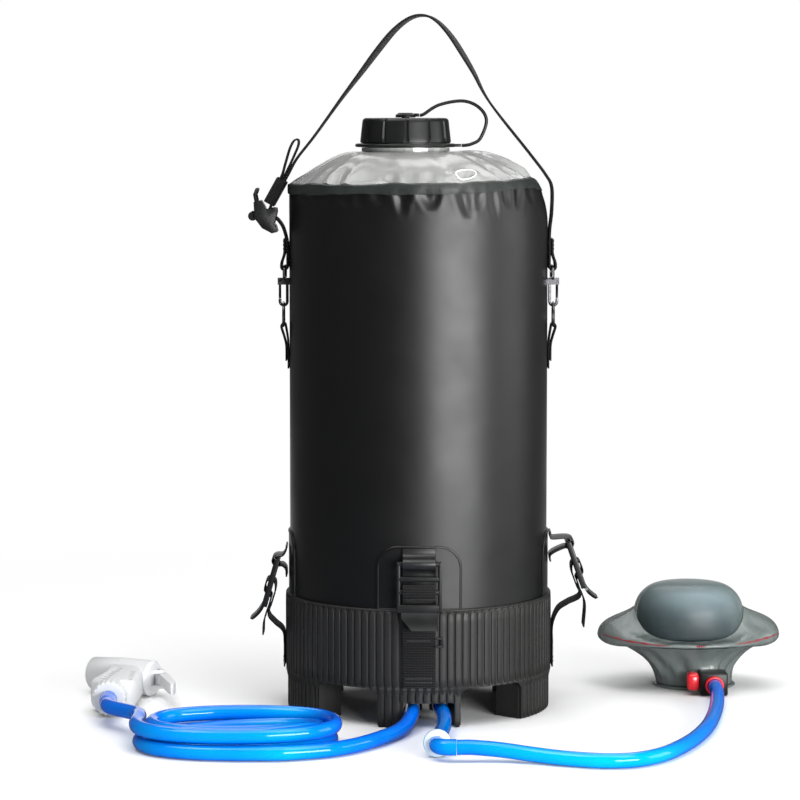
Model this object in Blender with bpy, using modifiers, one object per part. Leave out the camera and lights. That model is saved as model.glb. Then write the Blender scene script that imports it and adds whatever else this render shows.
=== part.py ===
"""Pressure shower bag: a welded water bag that stands in a ribbed base, with a screw cap,
a carry strap, a hose with a spray gun, and a foot pump that puts the bag under pressure.

Metres, +Z up. The camera side is -Y. The origin lies on the ground, midway between the
outermost pieces: the gun and the pump in X, the front buckle and the pump in Y.
"""

import math

import bmesh
import bpy
from mathutils import Matrix, Vector

# Gaps and shared sizes
GAP = 0.0003  # between pieces that touch
TURN_STEPS = 64

# Place of the bag's axis
BAG_X = -0.01342
BAG_Y = -0.00767

# Water bag
BAG_R = 0.1000
BAG_WALL = 0.0015
BAG_TOP = 0.4030
BAND_LAP = 0.0045  # how far the hem laps down over the wall
BAND_WALL = 0.0009
BAND_TOP = 0.4060
DOME_RISE = 0.0252
DOME_WALL = 0.0015

# Filler neck and cap
NECK_SHIFT = -0.0100  # the soft dome lets the neck sit left of the axis
NECK_R = 0.0300
NECK_BORE = 0.0265
NECK_RISE = 0.0215  # from the dome's flat top to the neck's rim
COLLAR_R = 0.0340
COLLAR_T = 0.0029
CLAMP_R = 0.0375
THREAD_PITCH = 0.0040
THREAD_TURNS = 1.25
THREAD_R = 0.0011
RING_R = 0.0390
RING_T = 0.0028
CAP_R = 0.0350
CAP_RIDGES = 12
CAP_RIDGE = 0.0014
CAP_H = 0.0194
CAP_TOP_T = 0.0021
KNOB_FOOT_T = 0.0012
KNOB_R = 0.0078
KNOB_T = 0.0037
KNOB_STEM_R = 0.0030
TETHER_R = 0.0013

# Ribbed base
BASE_BORE = BAG_R + 0.0005
BASE_WALL = 0.0030
BASE_R = BASE_BORE + BASE_WALL
BASE_H = 0.0890
BASE_FLOOR = 0.0300
BASE_FLOOR_T = 0.0042
FOOT_STEP = 0.0015
FOOT_WALL = 0.0035
RIBS = 108
RIB_DEPTH = 0.0010
ARCH_AT = 34.0  # degrees from the front and from the back
ARCH_HALF = 16.0
ARCH_CORNER = 0.0080
WEB_T = 0.0026
WEB_IN = BASE_R - 0.0255
NOTCH_X = 0.0082
NOTCH_W = 0.0394
NOTCH_H = 0.0187

# Hoses and their fittings
HOSE_R = 0.0055
OUTLET_X = -0.0050
INLET_X = 0.0158
FITTING_Y = -0.0480
FITTING_Z = 0.0120
FITTING_R = 0.0078
FITTING_FLANGE_R = 0.0100
FITTING_STEM_R = 0.0060
SPIGOT_END = -0.0660
UNION_X = 0.0124
UNION_Y = -0.2070
UNION_Z = 0.0103
UNION_R = 0.0101
UNION_T = 0.0060

# Straps that tie the bag to its base
WEBBING_W = 0.0250
WEBBING_T = 0.0012
PATCH_W = 0.0650
PATCH_TOP = 0.1380
PATCH_T = 0.0012
PATCH_CORNER = 0.0170
BUCKLE_W = 0.0340
BUCKLE_T = 0.0044
BUCKLE_RAIL = 0.0030
BUCKLE_BARS = ((0.0018, -0.0018), (-0.0092, -0.0132), (-0.0192, -0.0232), (-0.0302, -0.0367))

# Carry strap
STRAP_W = 0.0250
STRAP_T = 0.0018
TAIL_T = 0.0014
STRAP_LAP = 0.0215  # how far each end is folded back over itself
LEG_X = -BAG_R - 0.0086  # a point on the left leg, and the way it runs up from there
LEG_Z = 0.3998
LEG_ALONG = (math.sin(math.radians(29)), math.cos(math.radians(29)))

# Snap hooks, and the D-rings they hang in
EYE_R = 0.0012
EYE_Z = 0.3430
EYE_H = 0.0090
HOOK_R = 0.00115
HOOK_W = 0.00565
HOOK_HEAD_Z = 0.3314
GATE_R = 0.0010
GATE_PIN_R = 0.0006
NOSE_Z = 0.3178
DRING_R = 0.0009
DRING_BOW_R = 0.0100
DRING_BOW_Z = 0.3050
DRING_BAR_Z = 0.2970
TAB_W = 0.0160
TAB_T = 0.0012
TAB_LOW = 0.2640

# Coil of shower hose
COIL_X = -0.1315
COIL_Y = -0.1700
COIL_LONG = 0.0245
COIL_R = 0.0510
COIL_PITCH = 0.0118
COIL_TURNS = 3.25
COIL_LAYER = 0.0118
COIL_POINTS = 24

# Spray gun, lying on its side
GUN_X = -0.2400
GUN_Y = -0.0600
GUN_HEAD_R = 0.0143
GUN_HEAD_L = 0.0300
GUN_NOZZLE_L = 0.0272
GUN_REAR = (0.0310, 0.0876)
GUN_TILT = -63.25
GUN_GRIP_T = 0.0220
GUN_NUT_R = 0.0132
GUN_NUT_H = 0.0165
GUN_NUT_X = 0.0025
GUN_SPIGOT_R = 0.0084
LEVER_PIVOT = (0.0340, 0.0868)
LEVER_T = 0.0090
LEVER_HUB_R = 0.0026
PIN_R = 0.0016
WINDOW_PITCH = 0.0076

# Foot pump
PUMP_X = 0.2190
PUMP_Y = 0.0800
PUMP_FLAT = 0.86  # its depth over its width
SOLE_R = 0.0330
SOLE_T = 0.0025
SKIRT_Z = 0.0370
SKIRT_T = 0.0030
SKIRT_R = 0.0560
SKIRT_TIP = 0.0735
PUMP_DOME_R = 0.0445
PUMP_DOME_H = 0.0442
VALVE_X = 0.2350
VALVE_W = 0.0220
VALVE_L = 0.0200
VALVE_H = 0.0185
VALVE_Y = 0.0365
VALVE_HOSE_Z = 0.0093

for old in list(bpy.data.objects):
    bpy.data.objects.remove(old, do_unlink=True)

PARTS = bpy.data.collections.new("pressure_shower_bag")
CUTTERS = bpy.data.collections.new("cutters")
bpy.context.scene.collection.children.link(PARTS)
bpy.context.scene.collection.children.link(CUTTERS)


def material(name, colour, roughness, metallic=0.0, alpha=1.0):
    made = bpy.data.materials.new(name)
    made.use_nodes = True
    shader = made.node_tree.nodes["Principled BSDF"]
    shader.inputs["Base Color"].default_value = (*colour, 1.0)
    shader.inputs["Roughness"].default_value = roughness
    shader.inputs["Metallic"].default_value = metallic
    shader.inputs["Alpha"].default_value = alpha
    return made


BLACK_PVC = material("black_pvc", (0.012, 0.012, 0.012), 0.28)
CLEAR_FILM = material("clear_film", (0.55, 0.56, 0.53), 0.15, alpha=0.6)
BLACK_PLASTIC = material("black_plastic", (0.010, 0.010, 0.011), 0.35)
BASE_PLASTIC = material("base_plastic", (0.045, 0.043, 0.043), 0.50)
WEBBING = material("webbing", (0.012, 0.012, 0.012), 0.75)
METAL = material("dark_metal", (0.20, 0.20, 0.21), 0.30, metallic=1.0)
WHITE_PLASTIC = material("white_plastic", (0.85, 0.85, 0.84), 0.35)
BLUE_HOSE = material("blue_hose", (0.0, 0.20, 0.85), 0.12, alpha=0.8)
MILKY = material("milky_plastic", (0.62, 0.74, 0.82), 0.30)
FOAM = material("foam", (0.12, 0.16, 0.19), 0.80)
PUMP_FILM = material("pump_film", (0.20, 0.23, 0.22), 0.25, alpha=0.7)
RED_PLASTIC = material("red_plastic", (0.60, 0.01, 0.02), 0.35)


def empty(name, location, rotation=(0, 0, 0)):
    made = bpy.data.objects.new(name, None)
    made.location = location
    made.rotation_euler = rotation
    PARTS.objects.link(made)
    return made


BAG = empty("bag_centre", (BAG_X, BAG_Y, 0))
GUN = empty("gun_frame", (BAG_X + GUN_X, BAG_Y + GUN_Y, GUN_HEAD_R), (-math.pi / 2, 0, 0))
PUMP = empty("pump_centre", (BAG_X + PUMP_X, BAG_Y + PUMP_Y, 0))


def place(made, look, parent, location=(0, 0, 0), rotation=(0, 0, 0)):
    """Puts an object in the scene; without a look it is a cutter."""
    if look:
        made.data.materials.append(look)
        PARTS.objects.link(made)
    else:
        CUTTERS.objects.link(made)
        made.hide_render = True
        made.display_type = "WIRE"
    made.parent = parent
    made.location = location
    made.rotation_euler = rotation
    return made


def turned(name, profile, look, parent, ring=False, steps=TURN_STEPS, location=(0, 0, 0),
           rotation=(0, 0, 0)):
    """Turns a profile of (radius, height), run down its outer side, round the Z axis."""
    mesh = bpy.data.meshes.new(name)
    count = len(profile)
    edges = [(i, (i + 1) % count) for i in range(count if ring else count - 1)]
    mesh.from_pydata([(r, 0, z) for r, z in profile], edges, [])
    made = place(bpy.data.objects.new(name, mesh), look, parent, location, rotation)
    screw = made.modifiers.new("turn", "SCREW")
    screw.steps = steps
    screw.render_steps = steps
    screw.use_merge_vertices = True
    screw.merge_threshold = 0.00001
    screw.use_smooth_shade = False
    return made


def rod(name, radius, low, high, look, parent, steps=24, location=(0, 0, 0), rotation=(0, 0, 0)):
    profile = [(0, high), (radius, high), (radius, low), (0, low)]
    return turned(name, profile, look, parent, steps=steps, location=location, rotation=rotation)


def block(name, size, look, parent, location, rotation=(0, 0, 0), bevel=0.0):
    shape = bmesh.new()
    bmesh.ops.create_cube(shape, size=1.0, matrix=Matrix.Diagonal((*size, 1)))
    mesh = bpy.data.meshes.new(name)
    shape.to_mesh(mesh)
    shape.free()
    made = place(bpy.data.objects.new(name, mesh), look, parent, location, rotation)
    if bevel:
        rounding = made.modifiers.new("rounding", "BEVEL")
        rounding.width = bevel
        rounding.segments = 2
    return made


def meshed(curve_object, look, parent, location, rotation):
    """Turns a curve object into a welded mesh object."""
    curve_object.name = curve_object.name + "_curve"
    name = curve_object.name.removesuffix("_curve")
    bpy.context.scene.collection.objects.link(curve_object)
    bpy.context.view_layer.update()
    evaluated = curve_object.evaluated_get(bpy.context.evaluated_depsgraph_get())
    mesh = bpy.data.meshes.new_from_object(evaluated)
    bpy.data.objects.remove(curve_object)
    shape = bmesh.new()
    shape.from_mesh(mesh)
    bmesh.ops.remove_doubles(shape, verts=shape.verts, dist=0.00002)
    shape.to_mesh(mesh)
    shape.free()
    mesh.materials.clear()
    return place(bpy.data.objects.new(name, mesh), look, parent, location, rotation)


def slab(name, outline, thickness, look, parent, location=(0, 0, 0), rotation=(0, 0, 0)):
    """A flat outline in X and Y, with half its thickness on each side."""
    curve = bpy.data.curves.new(name, "CURVE")
    curve.dimensions = "2D"
    curve.fill_mode = "BOTH"
    curve.extrude = thickness / 2
    line = curve.splines.new("POLY")
    line.points.add(len(outline) - 1)
    for point, (x, y) in zip(line.points, outline):
        point.co = (x, y, 0, 1)
    line.use_cyclic_u = True
    return meshed(bpy.data.objects.new(name, curve), look, parent, location, rotation)


def tube(name, points, radius, look, parent, resolution=2, closed=False, solid=False):
    """A round bar or hose along its points."""
    curve = bpy.data.curves.new(name, "CURVE")
    curve.dimensions = "3D"
    curve.bevel_depth = radius
    curve.bevel_resolution = resolution
    curve.use_fill_caps = not closed
    line = curve.splines.new("POLY")
    line.points.add(len(points) - 1)
    for point, place_of in zip(line.points, points):
        point.co = (*place_of, 1)
    line.use_cyclic_u = closed
    made = bpy.data.objects.new(name, curve)
    if solid or not look:
        return meshed(made, look, parent, (0, 0, 0), (0, 0, 0))
    return place(made, look, parent)


def smooth(route, step):
    """Points about a step apart on a smooth curve through the route's own points."""
    ends = [2 * route[0] - route[1]] + list(route) + [2 * route[-1] - route[-2]]
    fine = []
    for before, start, end, after in zip(ends, ends[1:], ends[2:], ends[3:]):
        for k in range(16):
            t = k / 16
            fine.append(0.5 * (2 * start + (end - before) * t
                               + (2 * before - 5 * start + 4 * end - after) * t ** 2
                               + (3 * start - before - 3 * end + after) * t ** 3))
    fine.append(route[-1])
    along = [0.0]
    for a, b in zip(fine, fine[1:]):
        along.append(along[-1] + (b - a).length)
    count = max(2, round(along[-1] / step))
    points = []
    k = 0
    for i in range(count + 1):
        at = along[-1] * i / count
        while k < len(fine) - 2 and along[k + 1] < at:
            k += 1
        share = (at - along[k]) / (along[k + 1] - along[k])
        points.append(fine[k].lerp(fine[k + 1], share))
    return points


def route(points, step):
    return smooth([Vector(p) for p in points], step)


def flat_route(points, step):
    return smooth([Vector((x, 0, z)) for x, z in points], step)


def ribbon(name, path, width, thickness, look, parent, rotation=(0, 0, 0)):
    """A strip of webbing that follows a path in X and Z, its width along Y."""
    shape = bmesh.new()
    corners = [shape.verts.new((p.x, -width / 2, p.z)) for p in path]
    edges = [shape.edges.new(pair) for pair in zip(corners, corners[1:])]
    swept = bmesh.ops.extrude_edge_only(shape, edges=edges)
    moved = [v for v in swept["geom"] if isinstance(v, bmesh.types.BMVert)]
    bmesh.ops.translate(shape, verts=moved, vec=(0, width, 0))
    mesh = bpy.data.meshes.new(name)
    shape.to_mesh(mesh)
    shape.free()
    made = place(bpy.data.objects.new(name, mesh), look, parent, rotation=rotation)
    wall = made.modifiers.new("thickness", "SOLIDIFY")
    wall.thickness = thickness
    wall.offset = 0
    wall.use_even_offset = True
    return made


def drawn_up(name, outline, levels, look, parent, location=(0, 0, 0), rotation=(0, 0, 0)):
    """An outline drawn up through levels of (height, scale)."""
    shape = bmesh.new()
    low, first = levels[0]
    face = shape.faces.new([shape.verts.new((x * first, y * first, low)) for x, y in outline])
    face.normal_update()
    for (z0, scale0), (z1, scale1) in zip(levels, levels[1:]):
        grown = bmesh.ops.extrude_face_region(shape, geom=[face])
        top = [v for v in grown["geom"] if isinstance(v, bmesh.types.BMVert)]
        if scale0 != levels[0][1] or z0 != levels[0][0]:
            shape.faces.remove(face)
        bmesh.ops.translate(shape, verts=top, vec=(0, 0, z1 - z0))
        bmesh.ops.scale(shape, verts=top, vec=(scale1 / scale0, scale1 / scale0, 1))
        face = [f for f in grown["geom"] if isinstance(f, bmesh.types.BMFace)][0]
    bmesh.ops.recalc_face_normals(shape, faces=shape.faces)
    mesh = bpy.data.meshes.new(name)
    shape.to_mesh(mesh)
    shape.free()
    return place(bpy.data.objects.new(name, mesh), look, parent, location, rotation)


def ribbed(radius, depth, count):
    """A circle whose edge zigzags in and out, count times round."""
    turns = [math.pi * i / count for i in range(2 * count)]
    return [((radius - depth * (i % 2)) * math.cos(a), (radius - depth * (i % 2)) * math.sin(a))
            for i, a in enumerate(turns)]


def fluted(radius, depth, count, share=0.5):
    """A circle whose edge steps in and out, count times round."""
    points = []
    for i in range(count):
        for turn, r in ((0.0, radius - depth), (1 - share - 0.12, radius - depth),
                        (1 - share, radius), (0.88, radius)):
            a = 2 * math.pi * (i + turn) / count
            points.append((r * math.cos(a), r * math.sin(a)))
    return points


def arch(width, low, high, corner):
    """An upright outline with rounded top corners."""
    half = width / 2
    points = [(-half, low), (half, low)]
    for side, start in ((1, 0), (-1, 90)):
        for k in range(6):
            a = math.radians(start + 18 * k)
            points.append((side * (half - corner) + corner * math.cos(a),
                           high - corner + corner * math.sin(a)))
    return points


def facing(angle):
    """The turn that stands an outline upright, looking out from the axis."""
    a = math.radians(angle)
    return Matrix(((-math.sin(a), 0, math.cos(a)), (math.cos(a), 0, math.sin(a)), (0, 1, 0))).to_euler()


def cut(made, *tools):
    for tool in tools:
        step = made.modifiers.new("cut", "BOOLEAN")
        step.operation = "DIFFERENCE"
        step.object = tool


def join(made, *tools):
    for tool in tools:
        step = made.modifiers.new("join", "BOOLEAN")
        step.operation = "UNION"
        step.object = tool


def out(angle, radius, height=0.0):
    a = math.radians(angle)
    return (radius * math.cos(a), radius * math.sin(a), height)


# Heights that follow from the sizes above
BAG_BOTTOM = BASE_FLOOR + BASE_FLOOR_T + GAP
BAG_INSIDE = BAG_BOTTOM + BAG_WALL
DOME_FOOT = BAND_TOP + GAP
DOME_TOP = DOME_FOOT + DOME_RISE
COLLAR_Z = DOME_TOP + GAP
RING_Z = COLLAR_Z + COLLAR_T + GAP
CAP_Z = RING_Z + RING_T + GAP
CAP_TOP = CAP_Z + CAP_H
CAP_UNDER = CAP_TOP - CAP_TOP_T
NECK_TOP = DOME_TOP + NECK_RISE
HOSE_Z = HOSE_R + 0.0001


def build_base():
    lower = (BASE_R - FOOT_STEP) / BASE_R
    levels = ((0, lower), (0.022, lower), (0.029, 1), (BASE_H, 1))
    base = drawn_up("base", ribbed(BASE_R, RIB_DEPTH, RIBS), levels, BASE_PLASTIC, BAG)
    floor_top = BASE_FLOOR + BASE_FLOOR_T
    cut(base, rod("base_well", BASE_BORE, floor_top, BASE_H + 0.01, None, BAG, steps=TURN_STEPS))
    pocket_r = BASE_R - FOOT_STEP - FOOT_WALL
    cut(base, rod("base_pocket", pocket_r, -0.01, BASE_FLOOR, None, BAG, steps=TURN_STEPS))
    arch_w = 2 * BASE_R * math.sin(math.radians(ARCH_HALF))
    opening = arch(arch_w, -0.01, BASE_FLOOR - 0.0005, ARCH_CORNER)
    for middle in (-90, 90):
        for side in (-1, 1):
            angle = middle + side * ARCH_AT
            tool = slab(f"base_arch_{angle:.0f}", opening, 0.030, None, BAG,
                        out(angle, BASE_R), facing(angle))
            cut(base, tool)
    notch = arch(NOTCH_W, -0.01, NOTCH_H, ARCH_CORNER / 2)
    cut(base, slab("base_notch", notch, 0.030, None, BAG, (NOTCH_X, -BASE_R, 0), facing(-90)))
    for x in (OUTLET_X, INLET_X):
        cut(base, rod(f"base_hole_{x:.3f}", FITTING_STEM_R + 2 * GAP, BASE_FLOOR - 0.01, floor_top + 0.01,
                      None, BAG, location=(x, FITTING_Y, 0)))
    length = pocket_r + 0.001 - WEB_IN
    for middle in (-90, 90):
        for turn in (ARCH_AT - ARCH_HALF - 0.8, ARCH_AT + ARCH_HALF + 0.8):
            for side in (-1, 1):
                angle = middle + side * turn
                web = block(f"base_web_{angle:.0f}", (length, WEB_T, BASE_FLOOR + 0.001), None, BAG,
                            out(angle, WEB_IN + length / 2, (BASE_FLOOR + 0.001) / 2),
                            (0, 0, math.radians(angle)))
                join(base, web)


def build_fitting(name, x):
    """A flange inside the bag, a stem through both floors and an elbow with its spigot."""
    flange_z = BAG_INSIDE + GAP
    body_top = BASE_FLOOR - GAP
    profile = [(0, flange_z + 0.003), (FITTING_FLANGE_R, flange_z + 0.003), (FITTING_FLANGE_R, flange_z),
               (FITTING_STEM_R, flange_z), (FITTING_STEM_R, body_top), (FITTING_R, body_top),
               (FITTING_R, FITTING_Z - FITTING_R), (0, FITTING_Z - FITTING_R)]
    made = turned(name, profile, BLACK_PLASTIC, BAG, steps=24, location=(x, FITTING_Y, 0))
    length = FITTING_Y - SPIGOT_END
    spigot = rod(name + "_spigot", HOSE_R, 0, length, None, BAG, steps=20,
                 location=(x, FITTING_Y, FITTING_Z), rotation=(math.pi / 2, 0, 0))
    join(made, spigot)


def build_bag():
    inner = BAG_R - BAG_WALL
    profile = [(0, BAG_INSIDE), (inner, BAG_INSIDE), (inner, BAG_TOP), (BAG_R, BAG_TOP), (BAG_R, BAG_BOTTOM),
               (0, BAG_BOTTOM)]
    body = turned("bag_body", profile, BLACK_PVC, BAG)
    for x in (OUTLET_X, INLET_X):
        cut(body, rod(f"bag_hole_{x:.3f}", FITTING_STEM_R + 2 * GAP, BAG_BOTTOM - 0.01, BAG_INSIDE + 0.01,
                      None, BAG, location=(x, FITTING_Y, 0)))
    lap = BAG_R + GAP
    seat = BAG_TOP + GAP
    outer = lap + BAND_WALL
    hem = [(inner, BAND_TOP), (outer, BAND_TOP), (outer, BAG_TOP - BAND_LAP), (lap, BAG_TOP - BAND_LAP),
           (lap, seat), (inner, seat)]
    turned("weld_band", hem, BLACK_PVC, BAG, ring=True)
    build_fitting("outlet_fitting", OUTLET_X)
    build_fitting("inlet_fitting", INLET_X)


def build_dome():
    """The clear top: a turned shell whose middle is pushed to the side of the neck."""
    hole = NECK_R + 0.0020
    rim = BAG_R - 0.0012
    flat = CLAMP_R + 0.0025
    drops = ((flat, 0.0), (0.0500, 0.10), (0.0620, 0.29), (0.0780, 0.57), (0.0915, 0.87), (rim, 1.0))
    upper = [(hole, DOME_TOP)] + [(r, DOME_TOP - drop * DOME_RISE) for r, drop in drops]
    lower = [(r - (0.0010 if i > 2 else 0), z - DOME_WALL) for i, (r, z) in enumerate(upper)]
    lower[-1] = (rim - DOME_WALL, DOME_FOOT)
    dome = turned("dome", upper + lower[::-1], CLEAR_FILM, BAG, ring=True, steps=48)
    bpy.context.view_layer.update()
    mesh = bpy.data.meshes.new_from_object(dome.evaluated_get(bpy.context.evaluated_depsgraph_get()))
    for vertex in mesh.vertices:
        reach = math.hypot(vertex.co.x, vertex.co.y)
        share = min(1.0, max(0.0, (rim - reach) / (rim - flat)))
        vertex.co.x += NECK_SHIFT * share
    dome.modifiers.clear()
    dome.data = mesh


def build_neck():
    at = (NECK_SHIFT, 0, 0)
    groove = NECK_R + 0.0012
    clamp_top = DOME_TOP - DOME_WALL - GAP
    clamp_low = clamp_top - 0.0030
    profile = [(NECK_BORE, NECK_TOP), (NECK_R, NECK_TOP), (NECK_R, COLLAR_Z + COLLAR_T),
               (COLLAR_R, COLLAR_Z + COLLAR_T), (COLLAR_R, COLLAR_Z), (groove, COLLAR_Z),
               (groove, clamp_top), (CLAMP_R, clamp_top), (CLAMP_R, clamp_low), (NECK_BORE, clamp_low)]
    neck = turned("neck", profile, BLACK_PLASTIC, BAG, ring=True, steps=36, location=at)
    thread = []
    start = CAP_Z + 0.0035
    count = round(THREAD_TURNS * 20)
    for i in range(count + 1):
        a = 2 * math.pi * i / 20
        radius = NECK_R + 0.0002
        thread.append((NECK_SHIFT + radius * math.cos(a), radius * math.sin(a),
                       start + THREAD_PITCH * i / 20))
    join(neck, tube("neck_thread", thread, THREAD_R, None, BAG, resolution=1))
    ring_low = [(RING_R, RING_Z), (NECK_R + GAP, RING_Z)]
    ring_high = [(NECK_R + GAP, RING_Z + RING_T), (RING_R, RING_Z + RING_T)]
    ring = turned("tether_ring", ring_high + ring_low, BLACK_PLASTIC, BAG, ring=True, steps=36, location=at)
    lug_end = RING_R + 0.0040
    lug = block("ring_lug", (0.0080, 0.0050, RING_T - 0.0004), None, BAG,
                (NECK_SHIFT + lug_end - 0.0040, 0, RING_Z + RING_T / 2))
    join(ring, lug)
    return lug_end


def build_cap():
    at = (NECK_SHIFT, 0, 0)
    outline = fluted(CAP_R, CAP_RIDGE, CAP_RIDGES, share=0.62)
    levels = ((CAP_Z, 1), (CAP_TOP - 0.0030, 1), (CAP_TOP - 0.0009, 0.975), (CAP_TOP, 0.92))
    cap = drawn_up("cap", outline, levels, BLACK_PLASTIC, BAG, at)
    cut(cap, rod("cap_bore", NECK_R + THREAD_R + 0.0009, CAP_Z - 0.01, CAP_UNDER, None, BAG, steps=48,
                 location=at))
    cut(cap, rod("cap_hole", KNOB_STEM_R + GAP, CAP_UNDER - 0.01, CAP_TOP + 0.01, None, BAG, location=at))
    turned("cap_gasket", [(NECK_BORE, CAP_UNDER - GAP), (NECK_R + 0.0012, CAP_UNDER - GAP),
                          (NECK_R + 0.0012, NECK_TOP + GAP), (NECK_BORE, NECK_TOP + GAP)],
           BLACK_PVC, BAG, ring=True, steps=32, location=at)
    under = CAP_TOP + GAP
    head_top = CAP_UNDER - GAP
    top = under + KNOB_T
    foot_r = KNOB_STEM_R + 0.0022
    foot_low = head_top - KNOB_FOOT_T
    profile = [(0, top), (KNOB_R - 0.0018, top), (KNOB_R, top - 0.0014), (KNOB_R, under),
               (KNOB_STEM_R, under),
               (KNOB_STEM_R, head_top), (foot_r, head_top), (foot_r, foot_low), (0, foot_low)]
    knob = turned("tether_knob", profile, BLACK_PLASTIC, BAG, steps=20, location=at)
    eye_end = KNOB_R + 0.0028
    eye = block("knob_eye", (0.0050, 0.0038, 0.0026), None, BAG,
                (NECK_SHIFT + eye_end - 0.0025, 0, under + 0.0019))
    join(knob, eye)
    return eye_end, under + 0.0019


def build_tether(lug_end, eye_end, eye_z):
    """The leash from the knob's eye, over to the right and back to the lug of its ring."""
    start_x = NECK_SHIFT + eye_end + GAP
    end_x = NECK_SHIFT + lug_end + GAP
    lug_z = RING_Z + RING_T / 2
    points = [(start_x, 0, eye_z), (start_x + 0.0030, 0, eye_z + 0.0006),
              (start_x + 0.0150, 0, eye_z + 0.0078),
              (start_x + 0.0330, 0, eye_z + 0.0108), (start_x + 0.0455, 0, eye_z + 0.0060),
              (start_x + 0.0515, 0, eye_z - 0.0040), (end_x + 0.0145, 0, lug_z + 0.0055),
              (end_x + 0.0080, 0, lug_z + 0.0012), (end_x + 0.0026, 0, lug_z), (end_x, 0, lug_z)]
    tube("cap_tether", route(points, 0.0034), TETHER_R, BLACK_PLASTIC, BAG, resolution=1)


def build_patch(name, angle):
    """An arched patch that is welded to the bag above the base's rim."""
    low = BASE_H + GAP
    radius = BAG_R + GAP + PATCH_T / 2
    columns = 16
    half = PATCH_W / 2
    shape = bmesh.new()
    rows = []
    for i in range(columns + 1):
        across = half * math.sin(math.pi * (i / columns - 0.5))
        into = max(0.0, abs(across) - (half - PATCH_CORNER))
        top = PATCH_TOP - PATCH_CORNER + math.sqrt(PATCH_CORNER ** 2 - into ** 2)
        a = across / radius
        rows.append([shape.verts.new((radius * math.cos(a), radius * math.sin(a), z)) for z in (low, top)])
    for left, right in zip(rows, rows[1:]):
        shape.faces.new((left[0], right[0], right[1], left[1]))
    mesh = bpy.data.meshes.new(name)
    shape.to_mesh(mesh)
    shape.free()
    made = place(bpy.data.objects.new(name, mesh), BLACK_PVC, BAG, rotation=(0, 0, math.radians(angle)))
    wall = made.modifiers.new("thickness", "SOLIDIFY")
    wall.thickness = PATCH_T
    wall.offset = 0
    return made


def build_side(side, angle, bar_r, bar_z, tilt, from_base, tail):
    """One strap: its patch, the loop on it, the ladder-lock buckle and the webbing through it."""
    build_patch(f"patch_{side}", angle)
    turn = (0, 0, math.radians(angle))
    on_patch = BAG_R + GAP + PATCH_T + GAP + WEBBING_T / 2 + 0.0004
    reach = BUCKLE_T / 2 + GAP + WEBBING_T / 2 + 0.0007
    upper = min(bar_z + 0.0120, PATCH_TOP - 0.0015)
    lower = bar_z - 0.0070 - 0.3 * (bar_r - on_patch - 0.0078)
    loop = [(on_patch, upper), (on_patch, upper - 0.0026), (on_patch + 0.0008, upper - 0.0050),
            (bar_r - 0.0040, bar_z + reach + 0.0002),
            (bar_r, bar_z + reach), (bar_r + 0.7 * reach, bar_z + 0.7 * reach), (bar_r + reach, bar_z),
            (bar_r + 0.7 * reach, bar_z - 0.7 * reach), (bar_r, bar_z - reach),
            (bar_r - 0.0040, bar_z - reach), (on_patch + 0.0004, lower), (on_patch, lower - 0.0055)]
    ribbon(f"loop_{side}", flat_route(loop, 0.0018), WEBBING_W, WEBBING_T, WEBBING, BAG, turn)
    lean = Matrix.Rotation(math.radians(-tilt), 4, "Y")
    stand = Matrix.Rotation(math.radians(angle), 4, "Z")
    high = BUCKLE_BARS[0][0]
    low = BUCKLE_BARS[-1][1]
    frame = block(f"buckle_{side}", (BUCKLE_T, BUCKLE_W, high - low), BLACK_PLASTIC, BAG, (0, 0, 0))
    frame.data.transform(Matrix.Translation((0, 0, (high + low) / 2)))
    home = stand @ Matrix.Translation((bar_r, 0, bar_z)) @ lean
    frame.matrix_local = home
    for (_, above), (below, _) in zip(BUCKLE_BARS, BUCKLE_BARS[1:]):
        slot = block(f"slot_{side}_{-below:.3f}", (0.02, BUCKLE_W - 2 * BUCKLE_RAIL, above - below), None,
                     BAG, (0, 0, 0))
        slot.data.transform(Matrix.Translation((0, 0, (above + below) / 2)))
        slot.matrix_local = home
        cut(frame, slot)
    tip = [(0.0008, low + 0.0030), (0.0012, low - 0.0030), (0.0030, low - 0.0090), (0.0068, low - 0.0130)]
    tongue = ribbon(f"tongue_{side}", flat_route(tip, 0.003), 0.0280, 0.0024, None, BAG)
    tongue.matrix_local = home
    join(frame, tongue)
    front = BUCKLE_T / 2 + GAP + WEBBING_T / 2
    near = -front - 0.0003
    far = near - WEBBING_T - GAP - 0.0001
    middle_1 = (BUCKLE_BARS[1][1] + BUCKLE_BARS[2][0]) / 2
    middle_2 = (BUCKLE_BARS[2][1] + BUCKLE_BARS[3][0]) / 2
    weave = [(far, low - 0.0060), (far, low + 0.0040), (far, BUCKLE_BARS[2][1]),
             (-0.0032, middle_1 - 0.0010),
             (0, middle_1), (0.0030, middle_1 - 0.0005), (front + 0.0005, (middle_1 + middle_2) / 2),
             (0.0028, middle_2 + 0.0014), (0, middle_2 + 0.0003), (near + 0.0002, middle_2 - 0.0020),
             (near, BUCKLE_BARS[3][0] - 0.0020), (near, low - 0.0020)]
    woven = []
    for x, z in weave:
        moved = lean @ Vector((x, 0, z))
        woven.append((bar_r + moved.x, bar_z + moved.z))
    path = flat_route(from_base + woven + tail, 0.0019)
    ribbon(f"webbing_{side}", path, WEBBING_W, WEBBING_T, WEBBING, BAG, turn)


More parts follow.
